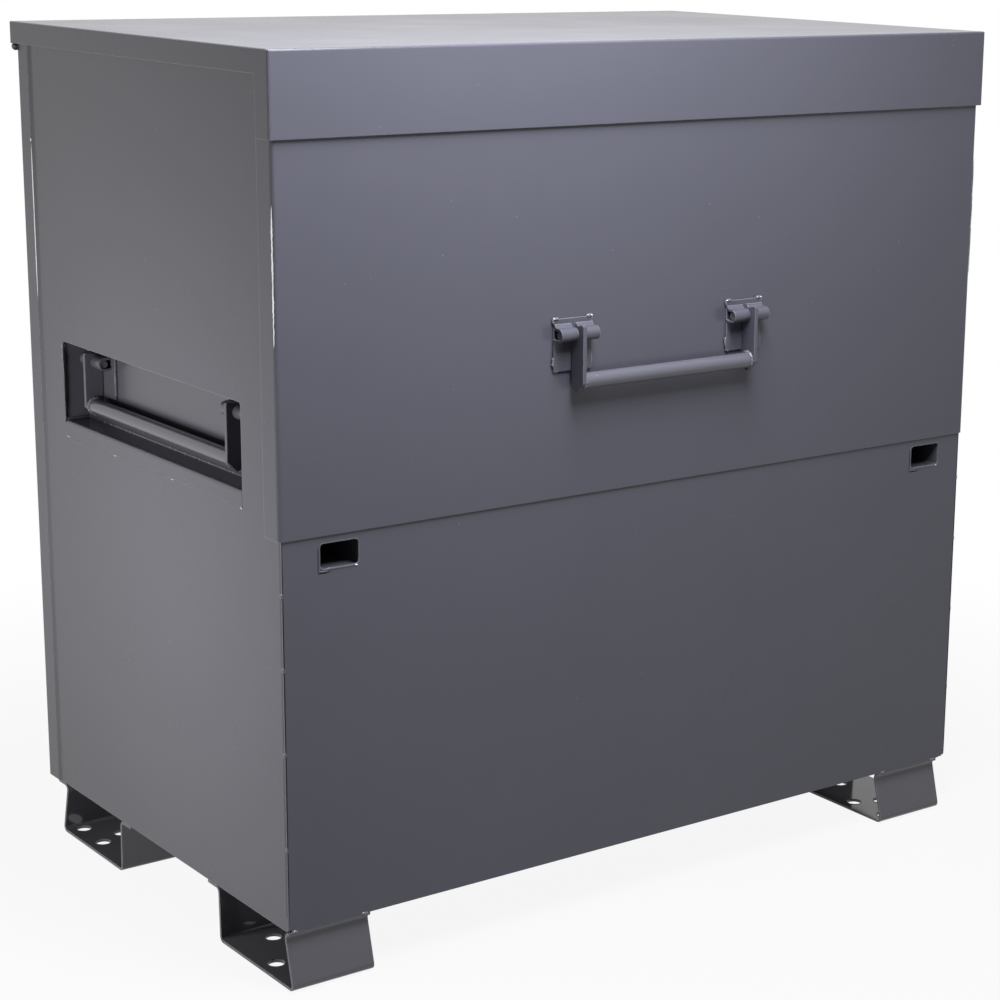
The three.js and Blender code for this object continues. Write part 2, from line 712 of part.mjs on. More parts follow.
// Gas spring: stud on the side panel, tube, rod with a slotted end, and stud bracket under the lid
const springX = sideInnerX - springInset;
const bodyStudAngle = (180 + springTilt + springClosedAngle) * rad;
const lidStudAngle = (180 + springTilt) * rad;
const bodyStudY = hingeY + springStudRadius * Math.cos(bodyStudAngle);
const bodyStudZ = hingeZ + springStudRadius * Math.sin(bodyStudAngle);
const lidStudY = hingeY + springStudRadius * Math.cos(lidStudAngle);
const lidStudZ = hingeZ + springStudRadius * Math.sin(lidStudAngle);
const springClosedLength = 2 * springStudRadius * Math.sin(springClosedAngle * rad / 2);
const springLean = Math.atan2(bodyStudY - lidStudY, lidStudZ - bodyStudZ);

function springTube(name, side) {
  const bore = springRodRadius + springRodClearance;
  const barrel = turned([
    [0, springTubeFoot], [springTubeRadius, springTubeFoot], [springTubeRadius, springTubeLength],
    [bore, springTubeLength], [bore, springTubeLength - springGland],
    [springTubeBore, springTubeLength - springGland], [springTubeBore, springTubeFoot + springRodRadius],
    [0, springTubeFoot + springRodRadius],
  ], springSides);
  const root = springTubeFoot + springBladeRoot;
  const blade = [
    ...arc(0, 0, springEyeRadius, Math.PI, 2 * Math.PI, 2 * bendSteps),
    [springEyeRadius, root], [-springEyeRadius, root],
  ];
  const hole = circle(0, 0, studRadius + studClearance, pinSides);
  const eye = alongX(blade, -springEyeThickness / 2, springEyeThickness / 2, [hole]);
  const mesh = piece(name, barrel.add(eye), black, box, side * springX, bodyStudY, bodyStudZ);
  mesh.rotation.x = springLean;
}

function springRod(name, side) {
  const top = springClosedLength;
  const bladeFoot = top - springSlotReach - springSlotEnd - springEyeRadius / 2;
  const bladeHead = top + springSlotReach;
  const shaft = turned([[0, top - springRodLength], [springRodRadius, top - springRodLength],
    [springRodRadius, bladeFoot + springBladeRoot], [0, bladeFoot + springBladeRoot]], springSides);
  const blade = [[-springEyeRadius, bladeFoot], [springEyeRadius, bladeFoot],
    ...arc(0, bladeHead, springEyeRadius, 0, Math.PI, 2 * bendSteps)];
  const slotRadius = studRadius + studClearance;
  const slot = [...arc(0, top + springSlotReach, slotRadius, 0, Math.PI, 2 * bendSteps),
    ...arc(0, top - springSlotReach, slotRadius, Math.PI, 2 * Math.PI, 2 * bendSteps)];
  const end = alongX(blade, -springSlotThickness / 2, springSlotThickness / 2, [slot]);
  const mesh = piece(name, shaft.add(end), chrome, box, side * springX, bodyStudY, bodyStudZ);
  mesh.rotation.x = springLean;
}

// Stud along X: shoulder, shank through the eye, and a retaining head
function stud(rootX, eyeNear, eyeFar, headReach) {
  const toward = Math.sign(eyeFar - rootX);
  const profile = [[0, 0], [studShoulder, 0], [studShoulder, Math.abs(eyeNear - rootX)],
    [studRadius, Math.abs(eyeNear - rootX)], [studRadius, Math.abs(eyeFar - rootX)],
    [studHeadRadius, Math.abs(eyeFar - rootX)], [studHeadRadius, Math.abs(eyeFar - rootX) + headReach],
    [0, Math.abs(eyeFar - rootX) + headReach]];
  const geometry = new THREE.LatheGeometry(profile.map(([r, h]) => new THREE.Vector2(r, h)), pinSides);
  geometry.rotateZ(-toward * Math.PI / 2);
  geometry.translate(rootX, 0, 0);
  return solid(geometry);
}

function bodyStud(name, side) {
  const wallX = sideInnerX - weldGap;
  const half = studPlateSize / 2;
  const corners = roundedRectangle(-half, half, -half, half, studPlateRadius);
  const near = springX + springEyeThickness / 2 + studClearance;
  const far = springX - springEyeThickness / 2 - studClearance;
  const [from, to] = [side * (wallX - studPlate), side * wallX].sort((a, b) => a - b);
  const plate = alongX(corners, from, to);
  const post = stud(side * (wallX - studRoot), side * near, side * far, studPlate);
  piece(name, plate.add(post), zinc, box, 0, bodyStudY, bodyStudZ);
}

function lidStud(name, side) {
  const topZ = overallHeight - sheet - weldGap - lidStudZ;
  const near = springX - springSlotThickness / 2 - studClearance;
  const far = springX + springSlotThickness / 2 + studClearance;
  const plateX = near - lidBracketGap;
  const half = lidBracketWidth / 2;
  const angle = bentSheet([[plateX - lidBracketFlange, topZ], [plateX, topZ],
    [plateX, -lidBracketOverhang]], studPlate, bendRadius);
  const bracketBody = alongY(sided(angle, side), -half, half);
  const post = stud(side * (plateX - studRoot), side * near, side * far, studPlate);
  piece(name, bracketBody.add(post), zinc, box, 0, lidStudY, lidStudZ);
}

// Rubber bumpers on the ledge, under the strikes
function bumper(name, x) {
  const y = bodyFrontY + ledgeDepth / 2;
  const geometry = new THREE.CylinderGeometry(bumperRadius, bumperRadius, bumperHeight, pinSides);
  geometry.rotateX(Math.PI / 2);
  piece(name, solid(geometry), rubber, box, x, y, ledgeTop + weldGap + bumperHeight / 2);
}

sidePanel('side_panel_left', -1);
sidePanel('side_panel_right', 1);
backPanel();
lowerFrontPanel();
floorPanel();
const leftFootX = -bodyHalfWidth + footInsetLeft;
const rightFootX = bodyHalfWidth - footInsetRight - footWidth;
const rearFootY = backEdgeY - rearFootSetback;
foot('foot_front_left', leftFootX, bandFaceY - footOverhang, 1, footTrimmedFlange);
foot('foot_front_right', rightFootX, bandFaceY - footOverhang, 1, footTrimmedFlange);
foot('foot_rear_left', leftFootX, rearFootY, -1, footFlange);
foot('foot_rear_right', rightFootX, rearFootY, -1, footFlange);
recessPan('recess_pan_left', -1);
recessPan('recess_pan_right', 1);
lidTop();
lidFront();
lidStiffeners();
for (const [hand, x, inward] of [['left', leftPortX, 1], ['right', rightPortX, -1]]) {
  lockHousing('lock_housing_' + hand, x);
  lockEye('lock_eye_' + hand, x + eyeOffset * inward);
  lockStrike('lock_strike_' + hand, x);
  bumper('bumper_' + hand, x);
}
hinge();
handles();
for (const [hand, side] of [['left', -1], ['right', 1]]) {
  bodyStud('spring_stud_' + hand, side);
  lidStud('spring_bracket_' + hand, side);
  springTube('gas_spring_tube_' + hand, side);
  springRod('gas_spring_rod_' + hand, side);
}

export default box;
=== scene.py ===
import math
import bpy
import numpy as np
from mathutils import Matrix, Vector


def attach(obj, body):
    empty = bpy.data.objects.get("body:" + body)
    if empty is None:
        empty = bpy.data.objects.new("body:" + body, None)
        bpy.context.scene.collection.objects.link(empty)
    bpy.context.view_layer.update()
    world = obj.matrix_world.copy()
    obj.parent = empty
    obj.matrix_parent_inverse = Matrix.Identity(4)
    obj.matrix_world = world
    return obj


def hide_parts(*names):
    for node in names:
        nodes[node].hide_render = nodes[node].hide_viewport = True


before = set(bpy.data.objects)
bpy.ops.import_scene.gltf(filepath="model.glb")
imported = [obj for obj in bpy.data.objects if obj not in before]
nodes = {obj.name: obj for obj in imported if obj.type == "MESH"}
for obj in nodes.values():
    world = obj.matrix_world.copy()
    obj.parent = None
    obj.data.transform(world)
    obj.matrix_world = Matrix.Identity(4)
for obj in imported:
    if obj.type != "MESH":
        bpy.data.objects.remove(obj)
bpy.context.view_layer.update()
print("frame loaded:", len(nodes), "nodes")

# Camera: where it stands, how it is turned in degrees, its lens in mm and its clip in metres
view = dict(place=(-2.04736, -2.97335, 1.39911), yaw=37.652, pitch=13.680, roll=0.895,
            lens=86.82, sensor=36, shift=(-0.1375, -0.0021), clip=(0.05, 100))


def makeCamera(v):
    yaw, pitch, roll = (math.radians(v[k]) for k in ("yaw", "pitch", "roll"))
    data = bpy.data.cameras.new("viewCamera")
    data.lens = v["lens"]
    data.sensor_width = v["sensor"]
    data.shift_x, data.shift_y = v["shift"]
    data.clip_start, data.clip_end = v["clip"]
    camera = bpy.data.objects.new("viewCamera", data)
    bpy.context.scene.collection.objects.link(camera)
    level = Matrix.Rotation(-yaw, 4, "Z") @ Matrix.Rotation(math.pi / 2 - pitch, 4, "X")
    turn = level @ Matrix.Rotation(roll, 4, "Z")
    camera.matrix_world = Matrix.Translation(v["place"]) @ turn
    bpy.context.scene.camera = camera


makeCamera(view)
bpy.context.scene.view_settings.view_transform = "Standard"

# Soft lights: width and height, where each hangs, what it looks at, its power and tint, and whether the coat
# mirrors it
lamps = dict(
    front=dict(size=(0.5, 1.0), at=(-0.24, -0.90, 2.00), to=(-0.22, -0.3, 0.95), power=54,
               tint=(0.96, 0.965, 1.0), mirrored=True),
    left=dict(size=(0.40, 0.34), at=(-1.29, -0.09, 0.56), to=(-0.6, -0.09, 0.55), power=7.2,
              tint=(1.0, 0.98, 0.90), mirrored=False),
    top=dict(size=(1.8, 1.3), at=(0.5, 0.62, 3.2), to=(0.4, 0.35, 1.2), power=11,
             tint=(1.0, 0.985, 0.90), mirrored=False),
    rear=dict(size=(1.8, 1.4), at=(0.0, 2.9, 1.0), to=(0.0, 0.3, 0.6), power=46,
              tint=(1.0, 1.0, 1.0), mirrored=False),
    right=dict(size=(1.4, 1.2), at=(2.6, 0.35, 1.0), to=(0.5, 0.1, 0.6), power=24,
               tint=(1.0, 1.0, 1.0), mirrored=False),
)


def makeLamp(name, l):
    data = bpy.data.lights.new(name + "Lamp", "AREA")
    data.shape = "RECTANGLE"
    data.size, data.size_y = l["size"]
    data.energy = l["power"]
    data.color = l["tint"]
    lamp = bpy.data.objects.new(name + "Lamp", data)
    bpy.context.scene.collection.objects.link(lamp)
    back = Vector(np.array(l["at"]) - np.array(l["to"])).normalized()
    lamp.matrix_world = Matrix.Translation(l["at"]) @ back.to_track_quat("Z", "Y").to_matrix().to_4x4()
    lamp.visible_camera = False
    lamp.visible_glossy = l["mirrored"]


for name, l in lamps.items():
    makeLamp(name, l)
print("camera and lamps set")


def rgb(r, g, b):
    return (r, g, b, 1.0)


# A number in a shader graph: + - * between these and plain numbers add the Math nodes
class Num:
    def __init__(self, graph, socket):
        self.graph = graph
        self.socket = socket

    def maths(self, how, a, b):
        return self.graph.num("ShaderNodeMath", dict(operation=how), {0: a, 1: b})

    def __add__(self, other):
        return self.maths("ADD", self, other)

    def __radd__(self, other):
        return self.maths("ADD", other, self)

    def __sub__(self, other):
        return self.maths("SUBTRACT", self, other)

    def __rsub__(self, other):
        return self.maths("SUBTRACT", other, self)

    def __mul__(self, other):
        return self.maths("MULTIPLY", self, other)

    def __rmul__(self, other):
        return self.maths("MULTIPLY", other, self)


# The node graph of a finish, or of the world
class Graph:
    def __init__(self, owner):
        owner.use_nodes = True
        self.owner = owner
        self.tree = owner.node_tree
        self.tree.nodes.clear()

    # Any node: its type, the settings made first, then the values or links of its sockets
    def node(self, kind, settings=None, inputs=None):
        made = self.tree.nodes.new(kind)
        for key, value in (settings or {}).items():
            setattr(made, key, value)
        for key, value in (inputs or {}).items():
            self.feed(made.inputs[key], value)
        return made

    def feed(self, socket, value):
        if isinstance(value, Num):
            value = value.socket
        if isinstance(value, bpy.types.NodeSocket):
            self.tree.links.new(value, socket)
        else:
            socket.default_value = value

    # A node whose first output is a number
    def num(self, kind, settings=None, inputs=None):
        return Num(self, self.node(kind, settings, inputs).outputs[0])

    # Where a point lies on the object, in metres, whatever its pose
    def place(self):
        return self.node("ShaderNodeTexCoord").outputs["Object"]

    def noise(self, scale, detail=2.0, rough=0.5, stretch=None):
        where = self.place()
        if stretch is not None:
            where = self.node("ShaderNodeMapping", None, {"Vector": where, "Scale": stretch}).outputs[0]
        return self.num("ShaderNodeTexNoise", None,
                        {"Vector": where, "Scale": scale, "Detail": detail, "Roughness": rough})

    # Distance to the nearest of the points strewn through space, scaled
    def cells(self, scale):
        return self.num("ShaderNodeTexVoronoi", dict(feature="F1"), {"Vector": self.place(), "Scale": scale})

    # A smooth step from start to end while value goes from low to high
    def band(self, value, low, high, start=0.0, end=1.0):
        return self.num("ShaderNodeMapRange", dict(interpolation_type="SMOOTHSTEP"),
                        {0: value, 1: low, 2: high, 3: start, 4: end})

    def mixColour(self, share, a, b):
        return self.node("ShaderNodeMix", dict(data_type="RGBA"), {0: share, 6: a, 7: b}).outputs[2]

    # The normal, rounded over edges within a small radius
    def softNormal(self, radius):
        return self.node("ShaderNodeBevel", dict(samples=4), {"Radius": radius}).outputs[0]

    # How far a rounded normal leans from the true one: 0 on flats, up towards 1 on edges
    def edgeTurn(self, soft):
        flat = self.node("ShaderNodeNewGeometry").outputs["Normal"]
        along = self.node("ShaderNodeVectorMath", dict(operation="DOT_PRODUCT"), {0: soft, 1: flat})
        return 1 - Num(self, along.outputs["Value"])

    # The normal of a surface that stands out by height metres
    def bump(self, height, soft=None, strength=1.0):
        inputs = {"Strength": strength, "Distance": 1.0, "Height": height}
        if soft is not None:
            inputs["Normal"] = soft
        return self.node("ShaderNodeBump", None, inputs).outputs[0]

    # 1 for rays that show the room to the camera, straight, mirrored or through glass, and 0 for its light
    def seen(self):
        path = self.node("ShaderNodeLightPath").outputs
        seen = path["Is Camera Ray"]
        for other in ("Is Glossy Ray", "Is Transmission Ray"):
            seen = self.num("ShaderNodeMath", dict(operation="MAXIMUM"), {0: seen, 1: path[other]})
        return seen

    def close(self, **sockets):
        inputs = {key.replace("_", " "): value for key, value in sockets.items()}
        shader = self.node("ShaderNodeBsdfPrincipled", None, inputs)
        self.node("ShaderNodeOutputMaterial", None, {0: shader.outputs[0]})
        return self.owner


def startFinish(name):
    return Graph(bpy.data.materials.new(name))


# Powder coats: two greys that drift into each other, the pale colour painted on its edges as a highlight, how
# rough each dries, its shine, the height of its orange peel in metres and the radius to which it rounds edges
coats = dict(
    powderCoat=dict(colour=rgb(0.070, 0.0705, 0.092), light=rgb(0.104, 0.105, 0.127),
                    edge=rgb(0.40, 0.40, 0.43), rough=0.26, gloss=0.36, peel=2.2e-5, bevel=0.0014),
    seamCoat=dict(colour=rgb(0.088, 0.0885, 0.108), light=rgb(0.122, 0.123, 0.143),
                  edge=rgb(0.12, 0.12, 0.14), rough=0.24, gloss=0.38, peel=2.2e-5, bevel=0.0003),
    handleCoat=dict(colour=rgb(0.088, 0.0885, 0.110), light=rgb(0.126, 0.127, 0.148),
                    edge=rgb(0.34, 0.34, 0.37), rough=0.18, gloss=0.48, peel=2.5e-5, bevel=0.0010),
    plateCoat=dict(colour=rgb(0.070, 0.070, 0.086), light=rgb(0.108, 0.108, 0.126),
                   edge=rgb(0.34, 0.34, 0.37), rough=0.11, gloss=0.50, peel=1.2e-5, bevel=0.0013),
    weldCoat=dict(colour=rgb(0.115, 0.116, 0.140), light=rgb(0.220, 0.220, 0.240),
                  edge=rgb(0.30, 0.30, 0.32), rough=0.20, gloss=0.60, peel=6.0e-5, bevel=0.0005),
)

# What all powder coats share: scales of the patterns, how much each counts, the reach and strength of the
# painted edge highlight, and dust nibs caught in the coat
coatGrain = dict(sheenTurn=(0.02, 0.22), sheenShare=0.7, sheenPolish=0.06, driftScale=2.3, driftShare=0.30,
                 cloudScale=14.0, cloudShare=0.12, shareLess=0.13, nibScale=26.0, nibReach=(0.012, 0.03),
                 nibShare=0.35, nibColour=rgb(0.42, 0.42, 0.44), nibHeight=6.0e-5, peelScale=420.0,
                 peelRough=0.55, sagScale=5.0, sagHeight=1.0e-4, roughScale=7.0, roughSpread=0.10)


def makeCoat(name, c, g):
    f = startFinish(name)
    soft = f.softNormal(c["bevel"])
    # Painted highlight: where the rounded normal leans from the true one, the edges are lightened towards the
    # edge colour and made a little smoother
    edgeSheen = f.band(f.edgeTurn(soft), *g["sheenTurn"])
    drift = f.noise(g["driftScale"], 3.0) * g["driftShare"]
    cloud = f.noise(g["cloudScale"]) * g["cloudShare"]
    colour = f.mixColour(drift + cloud - g["shareLess"], c["colour"], c["light"])
    colour = f.mixColour(edgeSheen * g["sheenShare"], colour, c["edge"])
    nib = f.band(f.cells(g["nibScale"]), *g["nibReach"], 1.0, 0.0)
    colour = f.mixColour(nib * g["nibShare"], colour, g["nibColour"])
    peel = f.noise(g["peelScale"], rough=g["peelRough"]) * c["peel"]
    sag = f.noise(g["sagScale"], 1.0) * g["sagHeight"]
    normal = f.bump(peel + sag + nib * g["nibHeight"], soft)
    uneven = (f.noise(g["roughScale"], 3.0) - 0.5) * g["roughSpread"]
    rough = c["rough"] + uneven - edgeSheen * g["sheenPolish"]
    return f.close(Base_Color=colour, Roughness=rough, Normal=normal, Specular_IOR_Level=c["gloss"])


# Enamel on the gas-spring tubes and moulded rubber: a drift between two near colours over a fine grain
drifting = dict(
    blackEnamel=dict(colours=(rgb(0.012, 0.012, 0.013), rgb(0.026, 0.026, 0.028)), drift=(60.0, 3.0),
                     grain=700.0, depth=1.5e-5, bump=0.5, rough=0.24, spread=0.12, spreadScale=40.0,
                     bevel=0.0006),
    mouldedRubber=dict(colours=(rgb(0.018, 0.018, 0.018), rgb(0.045, 0.044, 0.043)), drift=(90.0, 4.0),
                       grain=800.0, depth=4.0e-5, bump=0.6, rough=0.72, spread=0.15, spreadScale=50.0,
                       bevel=0.0008),
)


def makeDrifting(name, c):
    f = startFinish(name)
    colour = f.mixColour(f.noise(*c["drift"]), *c["colours"])
    normal = f.bump(f.noise(c["grain"]) * c["depth"], f.softNormal(c["bevel"]), c["bump"])
    rough = c["rough"] + f.noise(c["spreadScale"]) * c["spread"]
    return f.close(Base_Color=colour, Roughness=rough, Normal=normal)


# Bright metal that stands in for painted highlights: glints along bends and seam edges, a sheen along the
# pan's bend, and glints on the tips of welds
brights = dict(
    highlightSteel=dict(colours=(rgb(0.86, 0.86, 0.88), rgb(0.74, 0.74, 0.76)), rough=0.22),
    weldGlint=dict(colours=(rgb(0.80, 0.80, 0.82), rgb(0.34, 0.33, 0.34)), rough=0.16),
    highlightCoat=dict(colours=(rgb(0.52, 0.52, 0.54), rgb(0.42, 0.42, 0.44)), rough=0.20),
)
brightGrain = dict(scale=260.0, depth=4.0e-5, bump=0.8, spread=0.12, metal=0.85)


def makeBright(name, c, g):
    f = startFinish(name)
    grain = f.noise(g["scale"])
    return f.close(Base_Color=f.mixColour(grain, *c["colours"]), Metallic=g["metal"],
                   Roughness=c["rough"] + grain * g["spread"],
                   Normal=f.bump(grain * g["depth"], strength=g["bump"]))


# Zinc plate: pale metal with a spangle of crystal cells
zinc = dict(colours=(rgb(0.62, 0.63, 0.64), rgb(0.46, 0.47, 0.50)), spangle=160.0, share=0.6, metal=0.9,
            grain=500.0, depth=2.0e-5, bump=0.4, rough=0.32, spread=0.12, spreadScale=30.0, bevel=0.0008)


def makeZinc(c):
    f = startFinish("zincPlate")
    colour = f.mixColour(f.cells(c["spangle"]) * c["share"], *c["colours"])
    normal = f.bump(f.noise(c["grain"]) * c["depth"], f.softNormal(c["bevel"]), c["bump"])
    rough = c["rough"] + f.noise(c["spreadScale"]) * c["spread"]
    return f.close(Base_Color=colour, Metallic=c["metal"], Roughness=rough, Normal=normal)


# Ground and polished rod: fine marks drawn out along x
rodChrome = dict(colours=(rgb(0.70, 0.71, 0.73), rgb(0.60, 0.61, 0.63)), scale=900.0, grindRough=0.6,
                 stretch=(0.15, 1, 1), rough=0.10, spread=0.10, bevel=0.0004)


def makeRodChrome(c):
    f = startFinish("polishedRod")
    grind = f.noise(c["scale"], 2.0, c["grindRough"], c["stretch"])
    return f.close(Base_Color=f.mixColour(grind, *c["colours"]), Metallic=1.0,
                   Roughness=c["rough"] + grind * c["spread"], Normal=f.softNormal(c["bevel"]))


# Painted shade: near black, standing in for the dark of a gap too narrow for light
gapShade = dict(colours=(rgb(0.004, 0.004, 0.005), rgb(0.012, 0.012, 0.014)), scale=80.0, rough=0.8,
               spread=0.1, spreadScale=40.0, gloss=0.1)


def makeGapShade(c):
    f = startFinish("paintedGapShade")
    return f.close(Base_Color=f.mixColour(f.noise(c["scale"]), *c["colours"]),
                   Roughness=c["rough"] + f.noise(c["spreadScale"]) * c["spread"],
                   Specular_IOR_Level=c["gloss"])


finishes = {
    **{name: makeCoat(name, c, coatGrain) for name, c in coats.items()},
    **{name: makeDrifting(name, c) for name, c in drifting.items()},
    **{name: makeBright(name, c, brightGrain) for name, c in brights.items()},
    "zincPlate": makeZinc(zinc),
    "polishedRod": makeRodChrome(rodChrome),
    "paintedGapShade": makeGapShade(gapShade),
}

# Finish of the CAD nodes, by how their names start; all others have the powder coat
nodeFinish = {
    "foot_": "plateCoat", "lock_": "plateCoat", "hinge_": "powderCoat", "spring_": "zincPlate",
    "gas_spring_tube": "blackEnamel", "gas_spring_rod": "polishedRod", "bumper_": "mouldedRubber",
    "front_handle": "handleCoat", "left_handle": "handleCoat", "right_handle": "handleCoat",
}
for name, node in nodes.items():
    wanted = [finish for start, finish in nodeFinish.items() if name.startswith(start)]
    node.data.materials.clear()
    node.data.materials.append(finishes[wanted[0] if wanted else "powderCoat"])
print("finishes on", len(nodes), "nodes")


# A mesh object from points and faces, smooth except over sharp edges, riding on a CAD body
def addPiece(name, points, faces, finish, rides, sharp=40, bevel=0.0, segments=2):
    mesh = bpy.data.meshes.new(name)
    mesh.from_pydata(np.asarray(points).tolist(), [], faces)
    mesh.validate()
    mesh.shade_smooth()
    mesh.set_sharp_from_angle(angle=math.radians(sharp))
    mesh.materials.append(finishes[finish])
    piece = bpy.data.objects.new(name, mesh)
    bpy.context.scene.collection.objects.link(piece)
    if bevel:
        edge = piece.modifiers.new("edge", "BEVEL")
        edge.width = bevel
        edge.segments = segments
        edge.limit_method = "ANGLE"
        edge.angle_limit = math.radians(sharp)
        edge.harden_normals = True
    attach(piece, rides)
    return piece


# Six times the volume under quads whose corners are p
def volumeUnder(p):
    return (np.einsum("ij,ij->i", p[:, 0], np.cross(p[:, 1], p[:, 2])) +
            np.einsum("ij,ij->i", p[:, 0], np.cross(p[:, 2], p[:, 3]))).sum()


# Faces of a closed surface from rings of points: quads between the rings and a cap at each end,
# turned so that the volume they hold is positive
def ringFaces(rings, first=0):
    n, m = rings.shape[:2]
    i, j = np.meshgrid(np.arange(n - 1), np.arange(m), indexing="ij")
    a, b = i * m + j, i * m + (j + 1) % m
    quads = np.stack([a, a + m, b + m, b], -1).reshape(-1, 4)
    volume = volumeUnder(rings.reshape(-1, 3)[quads])
    for ring, turn in ((rings[0], 1), (rings[-1], -1)):
        middle = np.repeat(ring.mean(0)[None], m, 0)
        volume += turn * np.einsum("ij,ij->i", middle, np.cross(ring, np.roll(ring, -1, 0))).sum()
    caps = [list(range(m)), list(range((n - 1) * m, n * m))[::-1]]
    faces = quads.tolist() + caps
    if volume < 0:
        faces = [face[::-1] for face in faces]
    return [[k + first for k in face] for face in faces]


# Faces of a ring-shaped surface, which has no ends: quads only, wrapped both ways
def loopFaces(rings, first=0):
    n, m = rings.shape[:2]
    i, j = np.meshgrid(np.arange(n), np.arange(m), indexing="ij")
    a, b = i * m + j, i * m + (j + 1) % m
    c, d = ((i + 1) % n) * m + (j + 1) % m, ((i + 1) % n) * m + j
    quads = np.stack([a, b, c, d], -1).reshape(-1, 4)
    if volumeUnder(rings.reshape(-1, 3)[quads]) <= 0:
        quads = quads[:, ::-1]
    return (quads + first).tolist()


# Several closed surfaces in one mesh: shapes have capped ends, loops are wrapped both ways
def gather(shapes, loops=()):
    points, faces, count = [], [], 0
    for facesOf, group in ((ringFaces, shapes), (loopFaces, loops)):
        for rings in group:
            faces += facesOf(rings, count)
            points.append(rings.reshape(-1, 3))
            count += rings.shape[0] * rings.shape[1]
    return np.concatenate(points), faces


def unitOf(v):
    v = np.asarray(v, float)
    return v / np.linalg.norm(v, axis=-1, keepdims=True)


# n angles once round a circle
def turnsOf(n):
    return np.linspace(0, 2 * np.pi, n + 1)[:-1]


# Turned piece along x: a circle of the given radius at each station
def turnedRings(stations, radii, sides=40):
    t = turnsOf(sides)
    x, r = (np.asarray(v, float)[:, None] for v in (stations, radii))
    return np.stack([x + 0 * t, r * np.cos(t), r * np.sin(t)], -1)


# A flat outline in (y, z) pushed along x between two stations
def pushedRings(outline, x0, x1):
    y, z = np.asarray(outline, float).T
    return np.stack([np.stack([np.full_like(y, x), y, z], -1) for x in (x0, x1)])


# Rings moved by a matrix
def placed(rings, place):
    m = np.array(place)
    return (rings.reshape(-1, 3) @ m[:3, :3].T + m[:3, 3]).reshape(rings.shape)


# Arc of a circle from one angle to another, in degrees
def arcOf(centre, radius, start, end, steps):
    t = np.radians(np.linspace(start, end, steps + 1))
    return np.stack([centre[0] + radius * np.cos(t), centre[1] + radius * np.sin(t)], -1)


# Rectangle with round corners, counter-clockwise from the right side
def roundedBox(left, right, low, high, r, steps):
    centres = ((right - r, high - r), (left + r, high - r), (left + r, low + r), (right - r, low + r))
    return np.concatenate([arcOf(c, r, 90 * k, 90 * k + 90, steps) for k, c in enumerate(centres)])


# What all beads share: points round the oval, the ripple, the noise in size and to the side, the fewest and
# the most rings
beadForm = dict(sides=8, ripple=0.16, noise=0.10, sway=0.18, rings=(7, 40))


# Weld bead from a to b on a surface that faces out: a half-sunk oval whose width and height follow
# (1 - |2s - 1|^4) to the half power along it, with a ripple of one pitch and seeded noise
def bead(a, b, out, width=0.0016, height=0.0011, pitch=0.0032, seed=0, rings=None, wander=1.0):
    a, b, out = (np.asarray(v, float) for v in (a, b, out))
    length = np.linalg.norm(b - a)
    n = rings or int(np.clip(length / pitch * 3, *beadForm["rings"]))
    rng = np.random.default_rng(seed)
    s = np.linspace(0, 1, n)[:, None]
    t = turnsOf(beadForm["sides"])[None]
    out = unitOf(out)
    side = unitOf(np.cross(unitOf(b - a), out))
    ends = np.sqrt(np.clip(1 - np.abs(2 * s - 1) ** 4, 0.01, 1))
    ripple = beadForm["ripple"] * np.cos(2 * np.pi * s * length / pitch)
    noise = beadForm["noise"] * rng.normal(size=(n, 1))
    scales = 1 + wander * (ripple + noise)
    sway = wander * beadForm["sway"] * width * rng.normal(size=(n, 1))
    across = (width * ends * scales * np.cos(t) + sway)[..., None] * side
    up = (height * ends * scales * np.sin(t))[..., None] * out
    return a + (b - a) * s[..., None] + across + up


# One bead to lay: where it starts and ends, which way its surface faces, and sizes of its own
def run(a, b, out, **sizes):
    return a, b, out, sizes


# A piece made of beads, each seeded by its place in the list; common sizes hold for all of them
def beadPiece(name, runs, finish, rides, place=None, firstSeed=0, **common):
    shapes = [bead(a, b, out, **{"seed": firstSeed + k, **common, **sizes})
              for k, (a, b, out, sizes) in enumerate(runs)]
    if place is not None:
        shapes = [placed(rings, place) for rings in shapes]
    points, faces = gather(shapes)
    return addPiece(name, points, faces, finish, rides, sharp=80)


# Drop handle in its own frame: x along the grip, -y away from the panel, z up, and the origin on the panel
# between the pins. Sizes in metres
handle = dict(pinOut=0.014, pinRadius=0.0055, pinShort=0.0012, pinChamfer=0.0008, strapBore=0.0062,
              strapSheet=0.0033, strapFlare=0.0052, strapFoot=-0.0022, strapRise=0.0062, rampOut=0.0036,
              rampRise=0.0017, bendIn=0.0006, bendRadius=0.0030, strapGap=0.004, strapWidth=0.063,
              plateHeight=0.072, plateThick=0.003, plateTop=0.021, plateBack=-0.0003, plateCorner=0.0022,
              plateEdge=0.0005, armThick=0.006, armBack=0.0098, armFront=0.018, armTop=0.0144,
              armFoot=0.080, armChamfer=0.014, armCorner=0.0045, armHeel=0.004, armEdge=0.0008,
              gripRadius=0.011, gripOut=0.018, gripDrop=0.0645, gripShort=0.0003)

# Where the handles sit: spacing of the pins, width of the plates, which weld runs along a plate's sides, the
# place and turn of the frame, and the body that holds the brackets
handlePlaces = dict(
    front=dict(spacing=0.301, plate=0.063, weld="upSide", at=(0.0, -0.36265, 0.843), turn=0, fixed="lid"),
    left=dict(spacing=0.427, plate=0.079, weld="seam", at=(-0.5615, 0.00765, 0.755), turn=-90, fixed="body"),
    right=dict(spacing=0.427, plate=0.079, weld="seam", at=(0.5615, 0.00765, 0.755), turn=90, fixed="body"),
)

